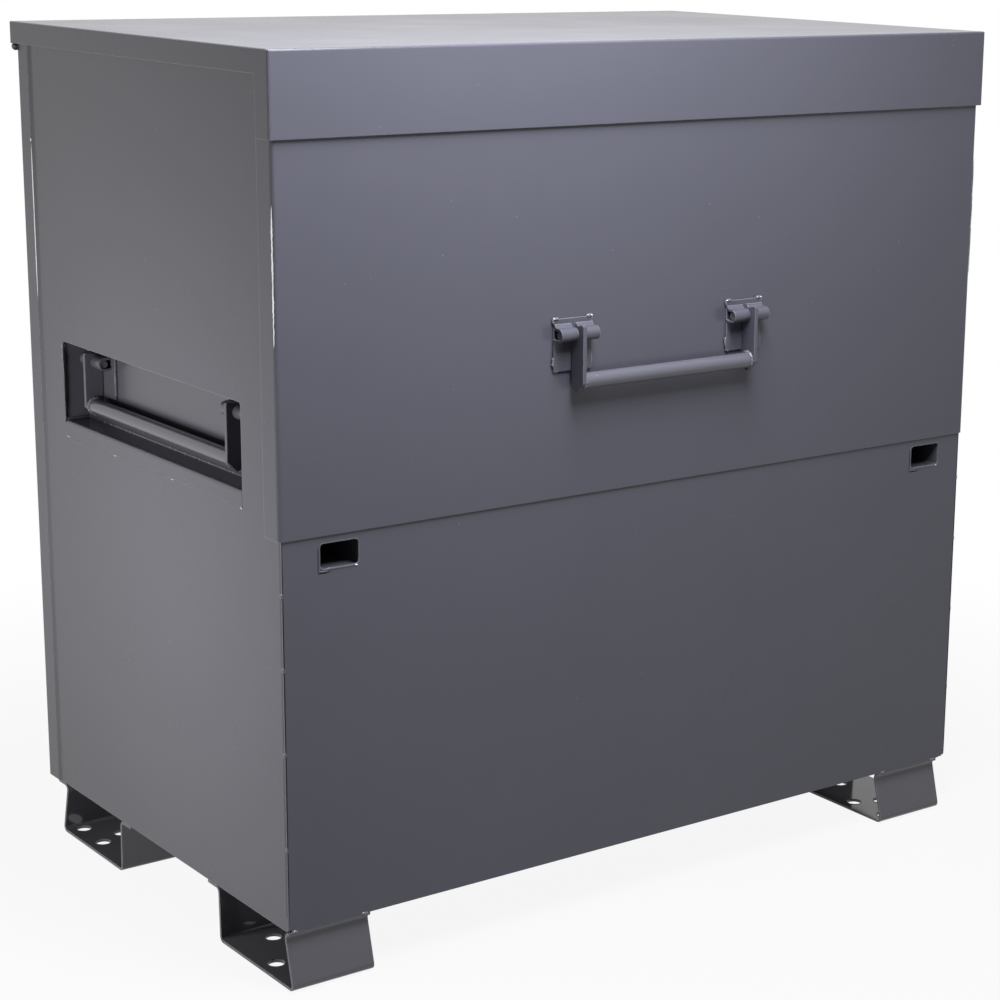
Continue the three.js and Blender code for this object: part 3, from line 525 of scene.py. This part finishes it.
# Welds at each side of a plate: from and to, given past its side edge, in y, and above its top, its foot or
# the pins; then the way each faces
plateWelds = dict(
    overTop=dict(above="top", start=(-0.009, -0.0022, 0.0004), end=(0.0016, -0.0022, 0.0006),
                 out=(0, -0.7, 0.7), size=dict(width=0.0024, height=0.0022)),
    downSide=dict(above="top", start=(0.0006, -0.0020, 0.001), end=(0.0005, -0.0020, -0.007),
                  out=(0.7, -0.7, 0), size=dict(width=0.0018, height=0.0018)),
    underFoot=dict(above="foot", start=(0.0008, -0.0018, 0.001), end=(-0.007, -0.0018, -0.0003),
                   out=(0, -0.7, -0.7), size=dict(width=0.0016, height=0.0016)),
    upSide=dict(above="foot", start=(0.0005, -0.0018, 0.020), end=(0.0005, -0.0018, 0.006),
                out=(0.7, -0.7, 0), size=dict(width=0.0019, height=0.0019)),
    seam=dict(above="pins", start=(0.0008, -0.0022, -0.030), end=(0.0008, -0.0022, -0.0135),
              out=(0.7, -0.7, 0), size=dict(width=0.0022, height=0.0020)),
)

# Filler down the sides of a plate that has a seam, and painted highlights of bright metal where its welds
# end: at its upper corners from inner to outer past the edge, and rising outwards from both ends of the seam
plateFiller = dict(past=0.0003, y=-0.0018, inset=0.002, out=(0.7, -0.7, 0),
                   size=dict(width=0.0019, height=0.0018, pitch=0.02, rings=30, wander=0.2))
plateTips = dict(y=-0.0040, inner=(-0.002, 0.0006), outer=(0.0012, 0.0008), seamPast=(0.0012, 0.0030),
                 seamRise=0.0022, out=(0, -0.8, 0.6), size=dict(width=0.0010, height=0.0009, rings=7))


# Strap: a strip that leaves the plate, comes down a ramp, folds round the pin in a half circle and goes back;
# its outer line is the inner one moved out by the sheet
def strapOutline(h):
    bore, out, bend = h["strapBore"], h["pinOut"], h["bendRadius"]
    heel = h["strapFlare"] - out
    inner = np.concatenate([
        [(h["strapFoot"], bore + h["strapRise"]), (heel + h["rampOut"], bore + h["rampRise"])],
        arcOf((heel - h["bendIn"], bore + bend), bend, -58, -90, 4),
        arcOf((-out, 0), bore, 90, 270, 22),
        [(h["strapFoot"], -bore)],
    ])
    along = unitOf(np.gradient(inner, axis=0))
    away = np.stack([along[:, 1], -along[:, 0]], -1)
    return np.concatenate([inner, (inner + away * h["strapSheet"])[::-1]])


# Arm: a flat bar with a round head behind the pin, a straight front and a swept foot
def armOutline(h):
    back, front, low, corner = h["armBack"], h["armFront"], h["armFoot"], h["armCorner"]
    heel, chamfer = h["armHeel"], h["armChamfer"]
    outline = np.concatenate([
        arcOf((0, 0), back, 180, 96, 14),
        arcOf((front - corner, h["armTop"] - corner), corner, 82, 0, 6),
        [(front, chamfer - low), (front - chamfer, -low)],
        arcOf((heel, -(low - back - heel)), back + heel, -90, -180, 14)[1:],
    ])
    return np.stack([-h["pinOut"] - outline[:, 0], outline[:, 1]], -1)


# Bracket: a plate with softened corners, and the strap in two halves either side of the arm
def bracketShapes(h, half):
    low = h["plateTop"] - h["plateHeight"]
    x, z = roundedBox(-half, half, low, h["plateTop"], h["plateCorner"], 3).T
    plate = np.stack([np.stack([x, np.full_like(x, y), z], -1)
                      for y in (h["plateBack"], h["plateBack"] - h["plateThick"])])
    strap, gap, reach = strapOutline(h), h["strapGap"], h["strapWidth"] / 2
    return [plate, pushedRings(strap, -reach, -gap), pushedRings(strap, gap, reach)]


# The welds of both sides, in order: three at the corners, and the one that the place names
def plateRuns(h, half, last):
    level = dict(top=h["plateTop"], foot=h["plateTop"] - h["plateHeight"], pins=0)
    runs = []
    for s in (-1, 1):
        for w in (plateWelds[which] for which in ("overTop", "downSide", "underFoot", last)):
            start, end = ((s * (half + past), y, level[w["above"]] + up)
                          for past, y, up in (w["start"], w["end"]))
            runs.append(run(start, end, (s * w["out"][0], *w["out"][1:]), **w["size"]))
    return runs


# Filler down both sides
def fillerRuns(h, half, c):
    low, high = h["plateTop"] - h["plateHeight"] + c["inset"], h["plateTop"] - c["inset"]
    runs = []
    for s in (-1, 1):
        x = s * (half + c["past"])
        runs.append(run((x, c["y"], low), (x, c["y"], high), (s * c["out"][0], *c["out"][1:]), **c["size"]))
    return runs


# Tips at both upper corners, then at the ends of the seam
def tipRuns(h, half, c, seam):
    def at(s, past, z):
        return (s * (half + past), c["y"], z)
    (inner, innerUp), (outer, outerUp), top = c["inner"], c["outer"], h["plateTop"]
    ends = [(at(s, inner, top + innerUp), at(s, outer, top + outerUp)) for s in (-1, 1)]
    near, far = c["seamPast"]
    ends += [(at(s, near, z), at(s, far, z + c["seamRise"])) for s in (-1, 1) for z in seam]
    return [run(start, end, c["out"], **c["size"]) for start, end in ends]


# Ring of weld where the grip meets an arm: a torus whose tube swells and shrinks round it with a ripple, a
# lean to one side and seeded noise
collar = dict(size=0.0024, ripples=13, ripple=0.16, noise=0.10, lean=0.25, leanAt=1.2, inset=0.0006)


def collarRings(c, x, radius, toward, seed):
    rng = np.random.default_rng(seed)
    t = turnsOf(42)
    rough = c["noise"] * rng.normal(size=t.size)
    swell = c["size"] * (1 + c["ripple"] * np.cos(c["ripples"] * t + seed) + rough
                         + c["lean"] * np.cos(t - c["leanAt"]))
    u = turnsOf(8)[:, None]
    r = radius + swell * np.sin(u)
    return np.stack([x + toward * (c["inset"] + swell * np.cos(u)), r * np.cos(t), r * np.sin(t)], -1)


def makeHandle(which, where, h, c):
    turn = Matrix.Translation(where["at"]) @ Matrix.Rotation(math.radians(where["turn"]), 4, "Z")
    cad, swings, holds = which + "_handle_", which + "_handle", where["fixed"]
    half, weld = where["plate"] / 2, where["weld"]
    seam = [plateWelds["seam"][tip][2] for tip in ("start", "end")] if weld == "seam" else []
    pinReach, arm = h["strapWidth"] / 2 - h["pinShort"], armOutline(h)
    for k, (end, x) in enumerate((("a", -where["spacing"] / 2), ("b", where["spacing"] / 2))):
        here = turn @ Matrix.Translation((x, 0, 0))
        tag = end.upper()
        points, faces = gather([placed(rings, here) for rings in bracketShapes(h, half)])
        bracket = addPiece(f"{which}Bracket{tag}", points, faces, "powderCoat", holds, bevel=h["plateEdge"])
        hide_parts(cad + "bracket_" + end)
        beadPiece(f"{which}BracketWeld{tag}", plateRuns(h, half, weld), "weldCoat", holds, here, 7 * k)
        if seam:
            fill = fillerRuns(h, half, plateFiller)
            beadPiece(f"{which}BracketFill{tag}", fill, "seamCoat", holds, here, seed=0)
        # Painted highlights: bright metal glints at the ends of the welds
        tips = tipRuns(h, half, plateTips, seam)
        beadPiece(f"{which}BracketGlint{tag}", tips, "weldGlint", holds, here)
        # Pin with chamfered ends
        bevelled = pinReach - h["pinChamfer"]
        radii = np.array((0.45, 0.86, 1, 1, 0.86, 0.45)) * h["pinRadius"]
        rings = turnedRings((-pinReach, -pinReach, -bevelled, bevelled, pinReach, pinReach), radii, 32)
        points, faces = gather([placed(rings + np.array((0, -h["pinOut"], 0)), here)])
        pin = addPiece(f"{which}Pin{tag}", points, faces, "handleCoat", swings, sharp=30)
        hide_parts(cad + "pin_" + end)
        points, faces = gather([placed(pushedRings(arm, -h["armThick"] / 2, h["armThick"] / 2), here)])
        bar = addPiece(f"{which}Arm{tag}", points, faces, "powderCoat", swings, sharp=30,
                       bevel=h["armEdge"], segments=3)
        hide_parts(cad + "arm_" + end)
    # Grip: round bar, with a ring of weld at each arm
    reach = (where["spacing"] - h["armThick"]) / 2 - h["gripShort"]
    stations = np.concatenate([[-reach], np.linspace(-reach, reach, 25), [reach]])
    radii = np.full(stations.shape, h["gripRadius"])
    radii[[0, -1]] *= 0.9
    centre = np.array((0, -h["gripOut"], -h["gripDrop"]))
    points, faces = gather([placed(turnedRings(stations, radii, 48) + centre, turn)])
    grip = addPiece(which + "Grip", points, faces, "handleCoat", swings, sharp=60)
    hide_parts(cad + "grip")
    collars = [collarRings(c, -toward * reach, h["gripRadius"], toward, 3 + k) + centre
               for k, toward in enumerate((1, -1))]
    points, faces = gather([], [placed(rings, turn) for rings in collars])
    addPiece(which + "GripWeld", points, faces, "weldCoat", swings, sharp=80)


for which, where in handlePlaces.items():
    makeHandle(which, where, handle, collar)
print("handles made")

# Gas spring: x of its middle plane, its two studs in (y, z) with the lid shut, and distances from the foot
# stud along it. Sizes in metres
spring = dict(x=0.5645, foot=(0.36715, 0.97621), head=(0.17069, 1.17965), tube=(0.016, 0.212), radius=0.011,
              rod=0.004, rodLength=0.258, slotReach=0.010, slotEnd=0.009, eye=0.009, tubeEye=0.006,
              rodEye=0.004, stud=0.0045)


# A blade with round ends and a slot through it: outer and inner outlines at both faces, wrapped both ways
def bladeRings(low, high, width, slotLow, slotHigh, slot, thick):
    def pill(a, b, r):
        return np.concatenate([arcOf((0, b), r, 0, 180, 14), arcOf((0, a), r, 180, 360, 14)])
    outer, inner = pill(low, high, width), pill(slotLow, slotHigh, slot)
    sheets = ((outer, -thick / 2), (outer, thick / 2), (inner, thick / 2), (inner, -thick / 2))
    return np.stack([np.stack([np.full(len(o), x), o[:, 0], o[:, 1]], -1) for o, x in sheets])


def makeSpring(side, name, s):
    (footY, footZ), (headY, headZ) = s["foot"], s["head"]
    lean = math.atan2(footY - headY, headZ - footZ)
    length = math.hypot(footY - headY, headZ - footZ)
    here = Matrix.Translation((side * s["x"], footY, footZ)) @ Matrix.Rotation(lean, 4, "X")
    upright = here @ Matrix.Rotation(-math.pi / 2, 4, "Y")
    low, high = s["tube"]
    r = s["radius"]
    # Tube: rounded foot, rolled groove near the gland, and a domed gland
    stations = (low, low, low + 0.0006, low + 0.0024, low + 0.005, high - 0.016, high - 0.0145,
                high - 0.013, high - 0.0115, high - 0.010, high - 0.0030, high - 0.0009, high)
    radii = (0.0005, r - 0.0026, r - 0.0012, r - 0.0002, r, r, r - 0.0007,
             r - 0.0010, r - 0.0007, r, r, r - 0.0010, 0.0046)
    eye = bladeRings(0, low + 0.004, s["eye"], 0, 0.0001, s["stud"], s["tubeEye"])
    points, faces = gather([placed(turnedRings(stations, radii, 40), upright)], [placed(eye, here)])
    which = name.lower()
    tube = addPiece("springTube" + name, points, faces, "blackEnamel", "spring_tube_" + which, sharp=50)
    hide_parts("gas_spring_tube_" + which)
    # Rod: ground shaft and a flat slotted end
    foot = length - s["slotReach"] - s["slotEnd"] - s["eye"] / 2
    start = length - s["rodLength"]
    shaft = turnedRings((start, start, foot - 0.004, foot + 0.002, foot + 0.002),
                        np.array((0.2, 1, 1, 1, 0.2)) * s["rod"], 32)
    blade = bladeRings(foot + 0.008, length + s["slotReach"], s["eye"],
                       length - s["slotReach"], length + s["slotReach"], s["stud"], s["rodEye"])
    points, faces = gather([placed(shaft, upright)], [placed(blade, here)])
    rod = addPiece("springRod" + name, points, faces, "polishedRod", "spring_rod_" + which, sharp=50)
    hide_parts("gas_spring_rod_" + which)


makeSpring(-1, "Left", spring)
makeSpring(1, "Right", spring)
print("gas springs made")

# The body's outside: half its width, its front face and the edge of the back sheet's wrap on the sides
body = dict(halfWidth=0.6005, front=-0.36025, wrapEdge=0.35065)

# Nubs up both front corners: their middles' heights, and the run at the foot of each
cornerNubs = dict(heights=(0.543, 0.444, 0.329, 0.198), reach=0.0045, foot=(0.083, 0.104))


def makeCornerNubs(b, c):
    nubs = []
    for side in (-1, 1):
        edge = side * b["halfWidth"]
        y, inner = b["front"] + 0.0012, edge - side * 0.0005
        for z in c["heights"]:
            nubs.append(run((edge, y, z - c["reach"]), (edge, y, z + c["reach"]), (side, -0.9, 0)))
        low, high = c["foot"]
        nubs.append(run((inner, b["front"] + 0.002, low), (inner, b["front"] + 0.002, high),
                        (side, -0.4, 0), width=0.0022))
    beadPiece("cornerNubs", nubs, "weldCoat", "body", width=0.0021, height=0.0015)


# Rear seams: stitches between pairs of heights, a painted highlight of bright steel down the wrap's edge, and
# a ramp of filler whose section is given as x from the middle of the box and y from the edge
rearSeam = dict(out=0.0017, gleam=(0.832, 1.058), glint=(1.061, 1.066), fill=(0.083, 1.2150),
                stitches=((0.120, 0.136), (0.195, 0.212), (0.272, 0.288), (0.392, 0.404), (0.513, 0.525),
                          (0.634, 0.646), (0.738, 0.750), (0.824, 0.834), (1.060, 1.066), (1.150, 1.160)),
                section=((0.5992, 0.0006), (0.60262, 0.0006), (0.60262, -0.0004), (0.6022, -0.0020),
                         (0.6016, -0.0044), (0.6010, -0.0068), (0.6006, -0.0088), (0.6003, -0.0112),
                         (0.5992, -0.0112)))


def makeRearSeam(b, c):
    stitches, gleams, ramps = [], [], []
    for side in (-1, 1):
        x, y = side * (b["halfWidth"] + c["out"]), b["wrapEdge"] - 0.0002
        for low, high in c["stitches"]:
            stitches.append(run((x, y, low), (x, y, high), (side, -0.7, 0)))
        y = b["wrapEdge"] - 0.0001
        (low, high), over = c["gleam"], x + side * 0.0004
        gleams.append(run((over, y, low), (over, y, high), (side, -1.0, 0),
                          width=0.0009, height=0.0006, pitch=0.05, rings=30, wander=0.4))
        (low, high), over = c["glint"], x + side * 0.0005
        gleams.append(run((over, y, low), (over, y, high), (side, -1.0, 0), width=0.0011))
        ramps.append(np.array([[(side * out, b["wrapEdge"] + back, z) for out, back in c["section"]]
                               for z in np.linspace(*c["fill"], 30)]))
    beadPiece("rearSeamStitches", stitches, "weldCoat", "body", width=0.0018, height=0.0011)
    # Painted highlight: bright steel gleams along the wrap's edge
    beadPiece("rearSeamHighlight", gleams, "highlightSteel", "body")
    points, faces = gather(ramps)
    addPiece("rearSeamFill", points, faces, "seamCoat", "body", sharp=50)


# Painted shade: a near-black bead standing in for the shade of the open seam beside both front corners
def makeCornerSeam(b):
    gaps = []
    for side in (-1, 1):
        x = side * (b["halfWidth"] - 0.0011)
        gaps.append(run((x, b["front"], 0.084), (x, b["front"], 0.6225), (0, -1, 0)))
    beadPiece("cornerSeamShade", gaps, "paintedGapShade", "body", width=0.00075, height=0.00025, pitch=0.04, rings=60,
              wander=0.3)


# Side recess: x of the side panel's face, of the gap behind it and of the pan's back. Its welds, painted
# highlights and painted gap shade go from and to a place in (y, z); tacks stand at the ends of the lip's
# foot, and a painted highlight of bright metal runs along the pan's bend
recess = dict(
    face=0.6004, gapAt=0.5986, back=0.5617,
    seams=(((0.2776, 0.7410), (0.2776, 0.7785), dict(width=0.0014, height=0.0009)),
           ((0.2770, 0.6585), (0.2770, 0.6640), dict(width=0.0016, height=0.0010))),
    tacks=(-0.2590, 0.2743), tackHeight=0.664, tackReach=(0.036, 0.002),
    tackSize=dict(width=0.0014, height=0.0009),
    drops=(((0.2778, 0.7685), (0.2780, 0.7727), dict(width=0.0010, height=0.0011)),
           ((0.2778, 0.7545), (0.2780, 0.7587), dict(width=0.0010, height=0.0011)),
           ((0.263, 0.6387), (0.273, 0.6384), dict(width=0.0008, height=0.0007)),
           ((0.109, 0.6387), (0.119, 0.6384), dict(width=0.0008, height=0.0007)),
           ((-0.067, 0.6387), (-0.057, 0.6384), dict(width=0.0008, height=0.0007)),
           ((-0.2540, 0.6398), (-0.2598, 0.6374), dict(width=0.0013, height=0.0008))),
    gapUp=((0.2744, 0.6625), (0.2744, 0.7745), dict(width=0.0017, height=0.0012, pitch=0.03, rings=24)),
    gapOver=((0.2744, 0.7735), (0.2690, 0.7782), dict(width=0.0014, height=0.0010, rings=8)),
    bend=((0.2760, 0.6630), (-0.2590, 0.6630),
          dict(width=0.0009, height=0.0011, pitch=0.05, rings=24, wander=0.0)),
)


def makeRecess(side, name, c):
    def sideRun(depth, row, out):
        (y0, z0), (y1, z1), size = row
        return run((side * depth, y0, z0), (side * depth, y1, z1), out, **size)
    seams = [sideRun(c["face"], row, (side, 0, 0)) for row in c["seams"]]
    inner, outer = (side * (c["face"] - reach) for reach in c["tackReach"])
    z = c["tackHeight"]
    seams += [run((inner, y, z), (outer, y, z), (0, -np.sign(y), 1), **c["tackSize"]) for y in c["tacks"]]
    beadPiece("recessSeams" + name, seams, "weldCoat", "body")
    # Painted highlights: bright metal glints on the welds and along the lip
    drops = [sideRun(c["face"], row, (side, 0, 0)) for row in c["drops"]]
    beadPiece("recessGlints" + name, drops, "weldGlint", "body")
    # Painted shade: a near-black bead in the gap behind the panel's edge
    gaps = [sideRun(c["gapAt"], c["gapUp"], (side, -1, 0)), sideRun(c["gapAt"], c["gapOver"], (side, -1, -1))]
    beadPiece("recessGapShade" + name, gaps, "paintedGapShade", "body")
    # Painted highlight: bright metal along the pan's bend
    beadPiece("recessBendHighlight" + name, [sideRun(c["back"], c["bend"], (side, 0, 0.5))], "highlightCoat", "body")


# Padlock ports: half the mouth's width, its heights, its corners, and the lip's radius with its swells; then
# the lip's run-off, painted shade in the cut under its lip and a painted highlight, from and to places
# measured from the mouth's lower left
port = dict(
    half=0.0285, low=0.570, high=0.604, corner=0.005, lip=0.00072, footSwell=0.00058, footTop=0.578,
    footFade=0.008, rightSwell=0.00018, noise=0.00020, wide=1.3, deep=0.85, shift=0.0006, proud=0.0003,
    runOff=(((-0.0018, -0.0030), (0.0120, -0.0026), dict(width=0.0013, height=0.0009)),
            ((-0.0016, 0.0020), (-0.0018, -0.0040), dict(width=0.0011, height=0.0009))),
    undercutShade=(((-0.0034, -0.0050), (-0.0030, 0.0300), dict(width=0.0006, height=0.0003, rings=30)),
              ((-0.0034, -0.0052), (0.0150, -0.0046), dict(width=0.0007, height=0.0003, rings=20))),
    drop=(((0.0510, -0.0010), (0.0547, -0.0006), dict(width=0.0008, height=0.0009, rings=7)),),
    glintProud=0.0006,
)


# A burnt lip all round the mouth: a closed tube along a rounded rectangle, thicker below and to the right,
# with smoothed noise on its radius
def makePort(name, middleX, b, c):
    def portRuns(rows, y):
        return [run((left + x0, y, low + z0), (left + x1, y, low + z1), (0, -1, 0), **size)
                for (x0, z0), (x1, z1), size in rows]
    left, y, low = middleX - c["half"], b["front"], c["low"]
    loop = roundedBox(left, middleX + c["half"], low, c["high"], c["corner"], 6)
    step = np.linalg.norm(np.roll(loop, -1, 0) - loop, axis=1)
    at = np.concatenate([[0], np.cumsum(step)])
    s = np.linspace(0, at[-1], 97)[:-1]
    x, z = (np.interp(s, at, np.append(loop[:, k], loop[0, k])) for k in (0, 1))
    along = unitOf(np.stack([np.roll(x, -1) - np.roll(x, 1), np.roll(z, -1) - np.roll(z, 1)], -1))
    away = np.stack([along[:, 1], -along[:, 0]], -1)
    draws = np.tile(np.random.default_rng(5).normal(size=s.size), 3)
    noise = np.convolve(draws, np.ones(3) / 3, "same")[s.size:2 * s.size]
    atFoot = np.clip((c["footTop"] - z) / c["footFade"], 0, 1)
    atRight = np.clip((x - middleX) / c["half"], 0, 1) ** 4
    radius = c["lip"] + c["footSwell"] * atFoot + c["rightSwell"] * atRight + c["noise"] * noise
    u = turnsOf(8)[:, None]
    wide = radius * np.cos(u) * c["wide"] + c["shift"]
    rings = np.stack([x + away[:, 0] * wide, y + c["proud"] - radius * c["deep"] * np.sin(u),
                      z + away[:, 1] * wide], -1)
    addPiece(name, rings.reshape(-1, 3), loopFaces(rings), "seamCoat", "body", sharp=80)
    beadPiece(name + "Run", portRuns(c["runOff"], y), "seamCoat", "body")
    # Painted shade: near-black beads under the lip's lower left
    beadPiece(name + "UndercutShade", portRuns(c["undercutShade"], y), "paintedGapShade", "body")
    # Painted highlight: a bright metal glint at the lip's lower right
    beadPiece(name + "Drop", portRuns(c["drop"], y - c["glintProud"]), "weldGlint", "body")


# Lid: half its width, its front face and top, the foot of its side rims, its front panel's face and half
# width, the heights between which a painted highlight runs up the panel's bends, and the bright dots along
# the mitre seams
lid = dict(halfWidth=0.6095, front=-0.36735, top=1.231, rimFoot=1.1996, panelFace=-0.36265,
           panelHalf=0.6046, highlightHeights=(0.865, 1.042),
           dots=((-0.3646, 1.2303), (-0.3643, 1.2238), (-0.3404, 1.2029), (-0.3372, 1.2002)))


def makeLidSeams(l):
    seams, dots, shine = [], [], []
    for side in (-1, 1):
        x, out = side * (l["halfWidth"] - 0.0007), (side, 0, 0)
        over = x + side * 0.0001
        seams.append(run((over, l["front"] + 0.001, l["top"] - 0.0022),
                         (over, l["front"] + 0.033, l["rimFoot"] + 0.001), out, width=0.0007, height=0.00045))
        for y, z in l["dots"]:
            dots.append(run((x, y, z - 0.0011), (x, y + 0.0006, z + 0.0006), out))
        x, y = side * (l["panelHalf"] + 0.0001), l["panelFace"] + 0.0022
        low, high = l["highlightHeights"]
        shine.append(run((x, y, low), (x, y, high), (side, -0.3, 0)))
    # Painted highlight: bright steel up the front panel's side bends
    beadPiece("lidBendShine", shine, "highlightSteel", "lid", width=0.0012, height=0.0004, pitch=0.05, rings=60)
    beadPiece("lidMitre", seams, "seamCoat", "lid")
    # Painted highlights: bright metal glints along the mitre seams
    beadPiece("lidMitreDots", dots, "weldGlint", "lid", width=0.0012, height=0.00055, rings=6, wander=0.0)


# Feet: size, the corner of each, which way it runs in y and the y of its seam with the panel above; then the
# burrs' radius and tube, and the holes as shares of a foot's width and depth
foot = dict(width=0.125, depth=0.206, seamHeight=0.0805, curl=0.011, burr=0.0117, tube=0.00042, swell=0.00026,
            swellAt=3.9, burrHeight=0.0040,
            places=dict(FrontLeft=(-0.6005, -0.37135, 1, -0.35955),
                        FrontRight=(0.4585, -0.37135, 1, -0.35955),
                        RearLeft=(-0.6005, 0.34565, -1, 0.3862),
                        RearRight=(0.4585, 0.34565, -1, 0.3862)),
            holes=((0.19, 0.105), (0.81, 0.105), (0.19, 0.437), (0.81, 0.437), (0.5, 0.347), (0.5, 0.814)))


# A curl of weld at each end of a foot's seam, and a thin burr round each hole: a torus whose tube swells to
# one side with the cube of a cosine
def makeFootTrim(name, place, c):
    x, y, facing, seam = place
    z = c["seamHeight"]
    curls = [run((end, seam, z), (end + inward * c["curl"], seam, z + 0.0007), (0, -facing, -0.35))
             for end, inward in ((x + 0.003, 1), (x + 0.122, -1))]
    beadPiece("footWeld" + name, curls, "weldCoat", "body", width=0.0026, height=0.0020)
    t, u = turnsOf(36), turnsOf(6)[:, None]
    tube = c["tube"] + c["swell"] * np.clip(np.cos(t - c["swellAt"]), 0, 1) ** 3
    ring = c["burr"] + tube * np.cos(u)
    burrs = [np.stack([x + c["width"] * shareX + ring * np.cos(t),
                       y + facing * c["depth"] * shareY + ring * np.sin(t),
                       c["burrHeight"] + tube * np.sin(u)], -1) for shareX, shareY in c["holes"]]
    points, faces = gather([], burrs)
    addPiece("holeBurrs" + name, points, faces, "plateCoat", "body", sharp=80)


# Inside: stitches along the hinge, and welds on the strikes, the housings and both stiffeners
inside = dict(stitch=0.012, hinge=(0.38765, 1.1608), hingeReach=0.57, strikes=(-0.5155, 0.528),
              strikeSide=0.0025, strikeBack=-0.3596, strikeHeights=(0.640, 0.700), housingSide=0.0308,
              housingBack=-0.3575, housingHeights=(0.568, 0.606), housingTop=0.6065, housingHalf=0.028,
              stiffenerReach=0.52, panelBack=-0.3590, panelSeams=((0.7068, -1), (0.7952, 1)),
              topFace=1.2274, topSeams=((-0.1118, -1), (-0.0232, 1)))


def makeInsideWelds(c):
    (y, z), half = c["hinge"], c["stitch"]
    hinge = [run((x - half, y, z), (x + half, y, z), (0, 1, -0.8))
             for x in np.linspace(-c["hingeReach"], c["hingeReach"], 12)]
    beadPiece("hingeStitches", hinge, "weldCoat", "body", width=0.0024, height=0.0013)
    lidRuns, bodyRuns = [], []
    for x in c["strikes"]:
        for s in (-1, 1):
            at, y, (low, high) = x + s * c["strikeSide"], c["strikeBack"], c["strikeHeights"]
            lidRuns.append(run((at, y, low), (at, y, high), (s, 1, 0), width=0.0020, height=0.0016))
            at, y, (low, high) = x + s * c["housingSide"], c["housingBack"], c["housingHeights"]
            bodyRuns.append(run((at, y, low), (at, y, high), (s, 1, 0)))
        z, reach = c["housingTop"], c["housingHalf"]
        bodyRuns.append(run((x - reach, y, z), (x + reach, y, z), (0, 1, 1)))
    for x in np.linspace(-c["stiffenerReach"], c["stiffenerReach"], 9):
        y = c["panelBack"]
        lidRuns += [run((x - half, y, z), (x + half, y, z), (0, 1, up)) for z, up in c["panelSeams"]]
        z = c["topFace"]
        lidRuns += [run((x - half, y, z), (x + half, y, z), (0, way, -1)) for y, way in c["topSeams"]]
    beadPiece("strikeAndStiffenerWelds", lidRuns, "weldCoat", "lid", width=0.0018, height=0.0013)
    beadPiece("housingWelds", bodyRuns, "weldCoat", "body", width=0.0017, height=0.0013)


# Peened head on each end of the hinge pin: a flattened dome turned from stations and radii
pinHead = dict(at=(0, 0.39015, 1.195), stations=(0.5975, 0.5975, 0.6068, 0.6076, 0.6082, 0.6084),
               radii=(0.0010, 0.0043, 0.0043, 0.0035, 0.0020, 0.0004))


def makePinHeads(c):
    shapes = [turnedRings(side * np.array(c["stations"]), c["radii"], 24) + np.array(c["at"])
              for side in (-1, 1)]
    points, faces = gather(shapes)
    # The heads take the paler weld coat so that they read grey, not black, in the shade under the lid's rim:
    # painted light
    addPiece("hingePinHeads", points, faces, "weldCoat", "body", sharp=60)


makeCornerNubs(body, cornerNubs)
makeRearSeam(body, rearSeam)
makeCornerSeam(body)
makeRecess(-1, "Left", recess)
makeRecess(1, "Right", recess)
makePort("portLipLeft", -0.5155, body, port)
makePort("portLipRight", 0.528, body, port)
makeLidSeams(lid)
for name, place in foot["places"].items():
    makeFootTrim(name, place, foot)
makeInsideWelds(inside)
makePinHeads(pinHead)
print("welds made")

# Floor: half its side, how bright it is seen under the object, its own grey, and where it fades to white
floorTone = dict(half=14.0, level=-0.0006, seen=0.91, paint=0.36, fade=(0.75, 1.9))


# Pale floor: seen as white with the object's shadow kept near it, and mid grey for the light that it gives
# back
def makeFloor(t):
    f = startFinish("paleFloor")
    seen = f.seen()
    paint = f.node("ShaderNodeBsdfDiffuse", None, {0: rgb(t["paint"], t["paint"], t["paint"])})
    glow = f.node("ShaderNodeEmission", None, {0: rgb(1, 1, 1), 1: 1.0})
    far = f.node("ShaderNodeVectorMath", dict(operation="LENGTH"), {0: f.place()}).outputs["Value"]
    white = f.band(far, *t["fade"], t["seen"], 1.0)
    share = f.node("ShaderNodeMixShader", None, {0: seen * white, 1: paint.outputs[0], 2: glow.outputs[0]})
    f.node("ShaderNodeOutputMaterial", None, {0: share.outputs[0]})
    half, z = t["half"], t["level"]
    mesh = bpy.data.meshes.new("floor")
    mesh.from_pydata([(-half, -half, z), (half, -half, z), (half, half, z), (-half, half, z)],
                     [], [(0, 1, 2, 3)])
    mesh.materials.append(f.owner)
    floor = bpy.data.objects.new("floor", mesh)
    bpy.context.scene.collection.objects.link(floor)


# World: white where it is seen, dim for the light that it gives
def makeWorld(ambient):
    world = bpy.data.worlds.new("studio")
    bpy.context.scene.world = world
    g = Graph(world)
    dim, white = (g.node("ShaderNodeBackground", None, {0: rgb(1, 1, 1), 1: strength}).outputs[0]
                  for strength in (ambient, 1.0))
    mix = g.node("ShaderNodeMixShader", None, {0: g.seen(), 1: dim, 2: white})
    g.node("ShaderNodeOutputWorld", None, {0: mix.outputs[0]})


makeFloor(floorTone)
makeWorld(0.09)
print("room made")
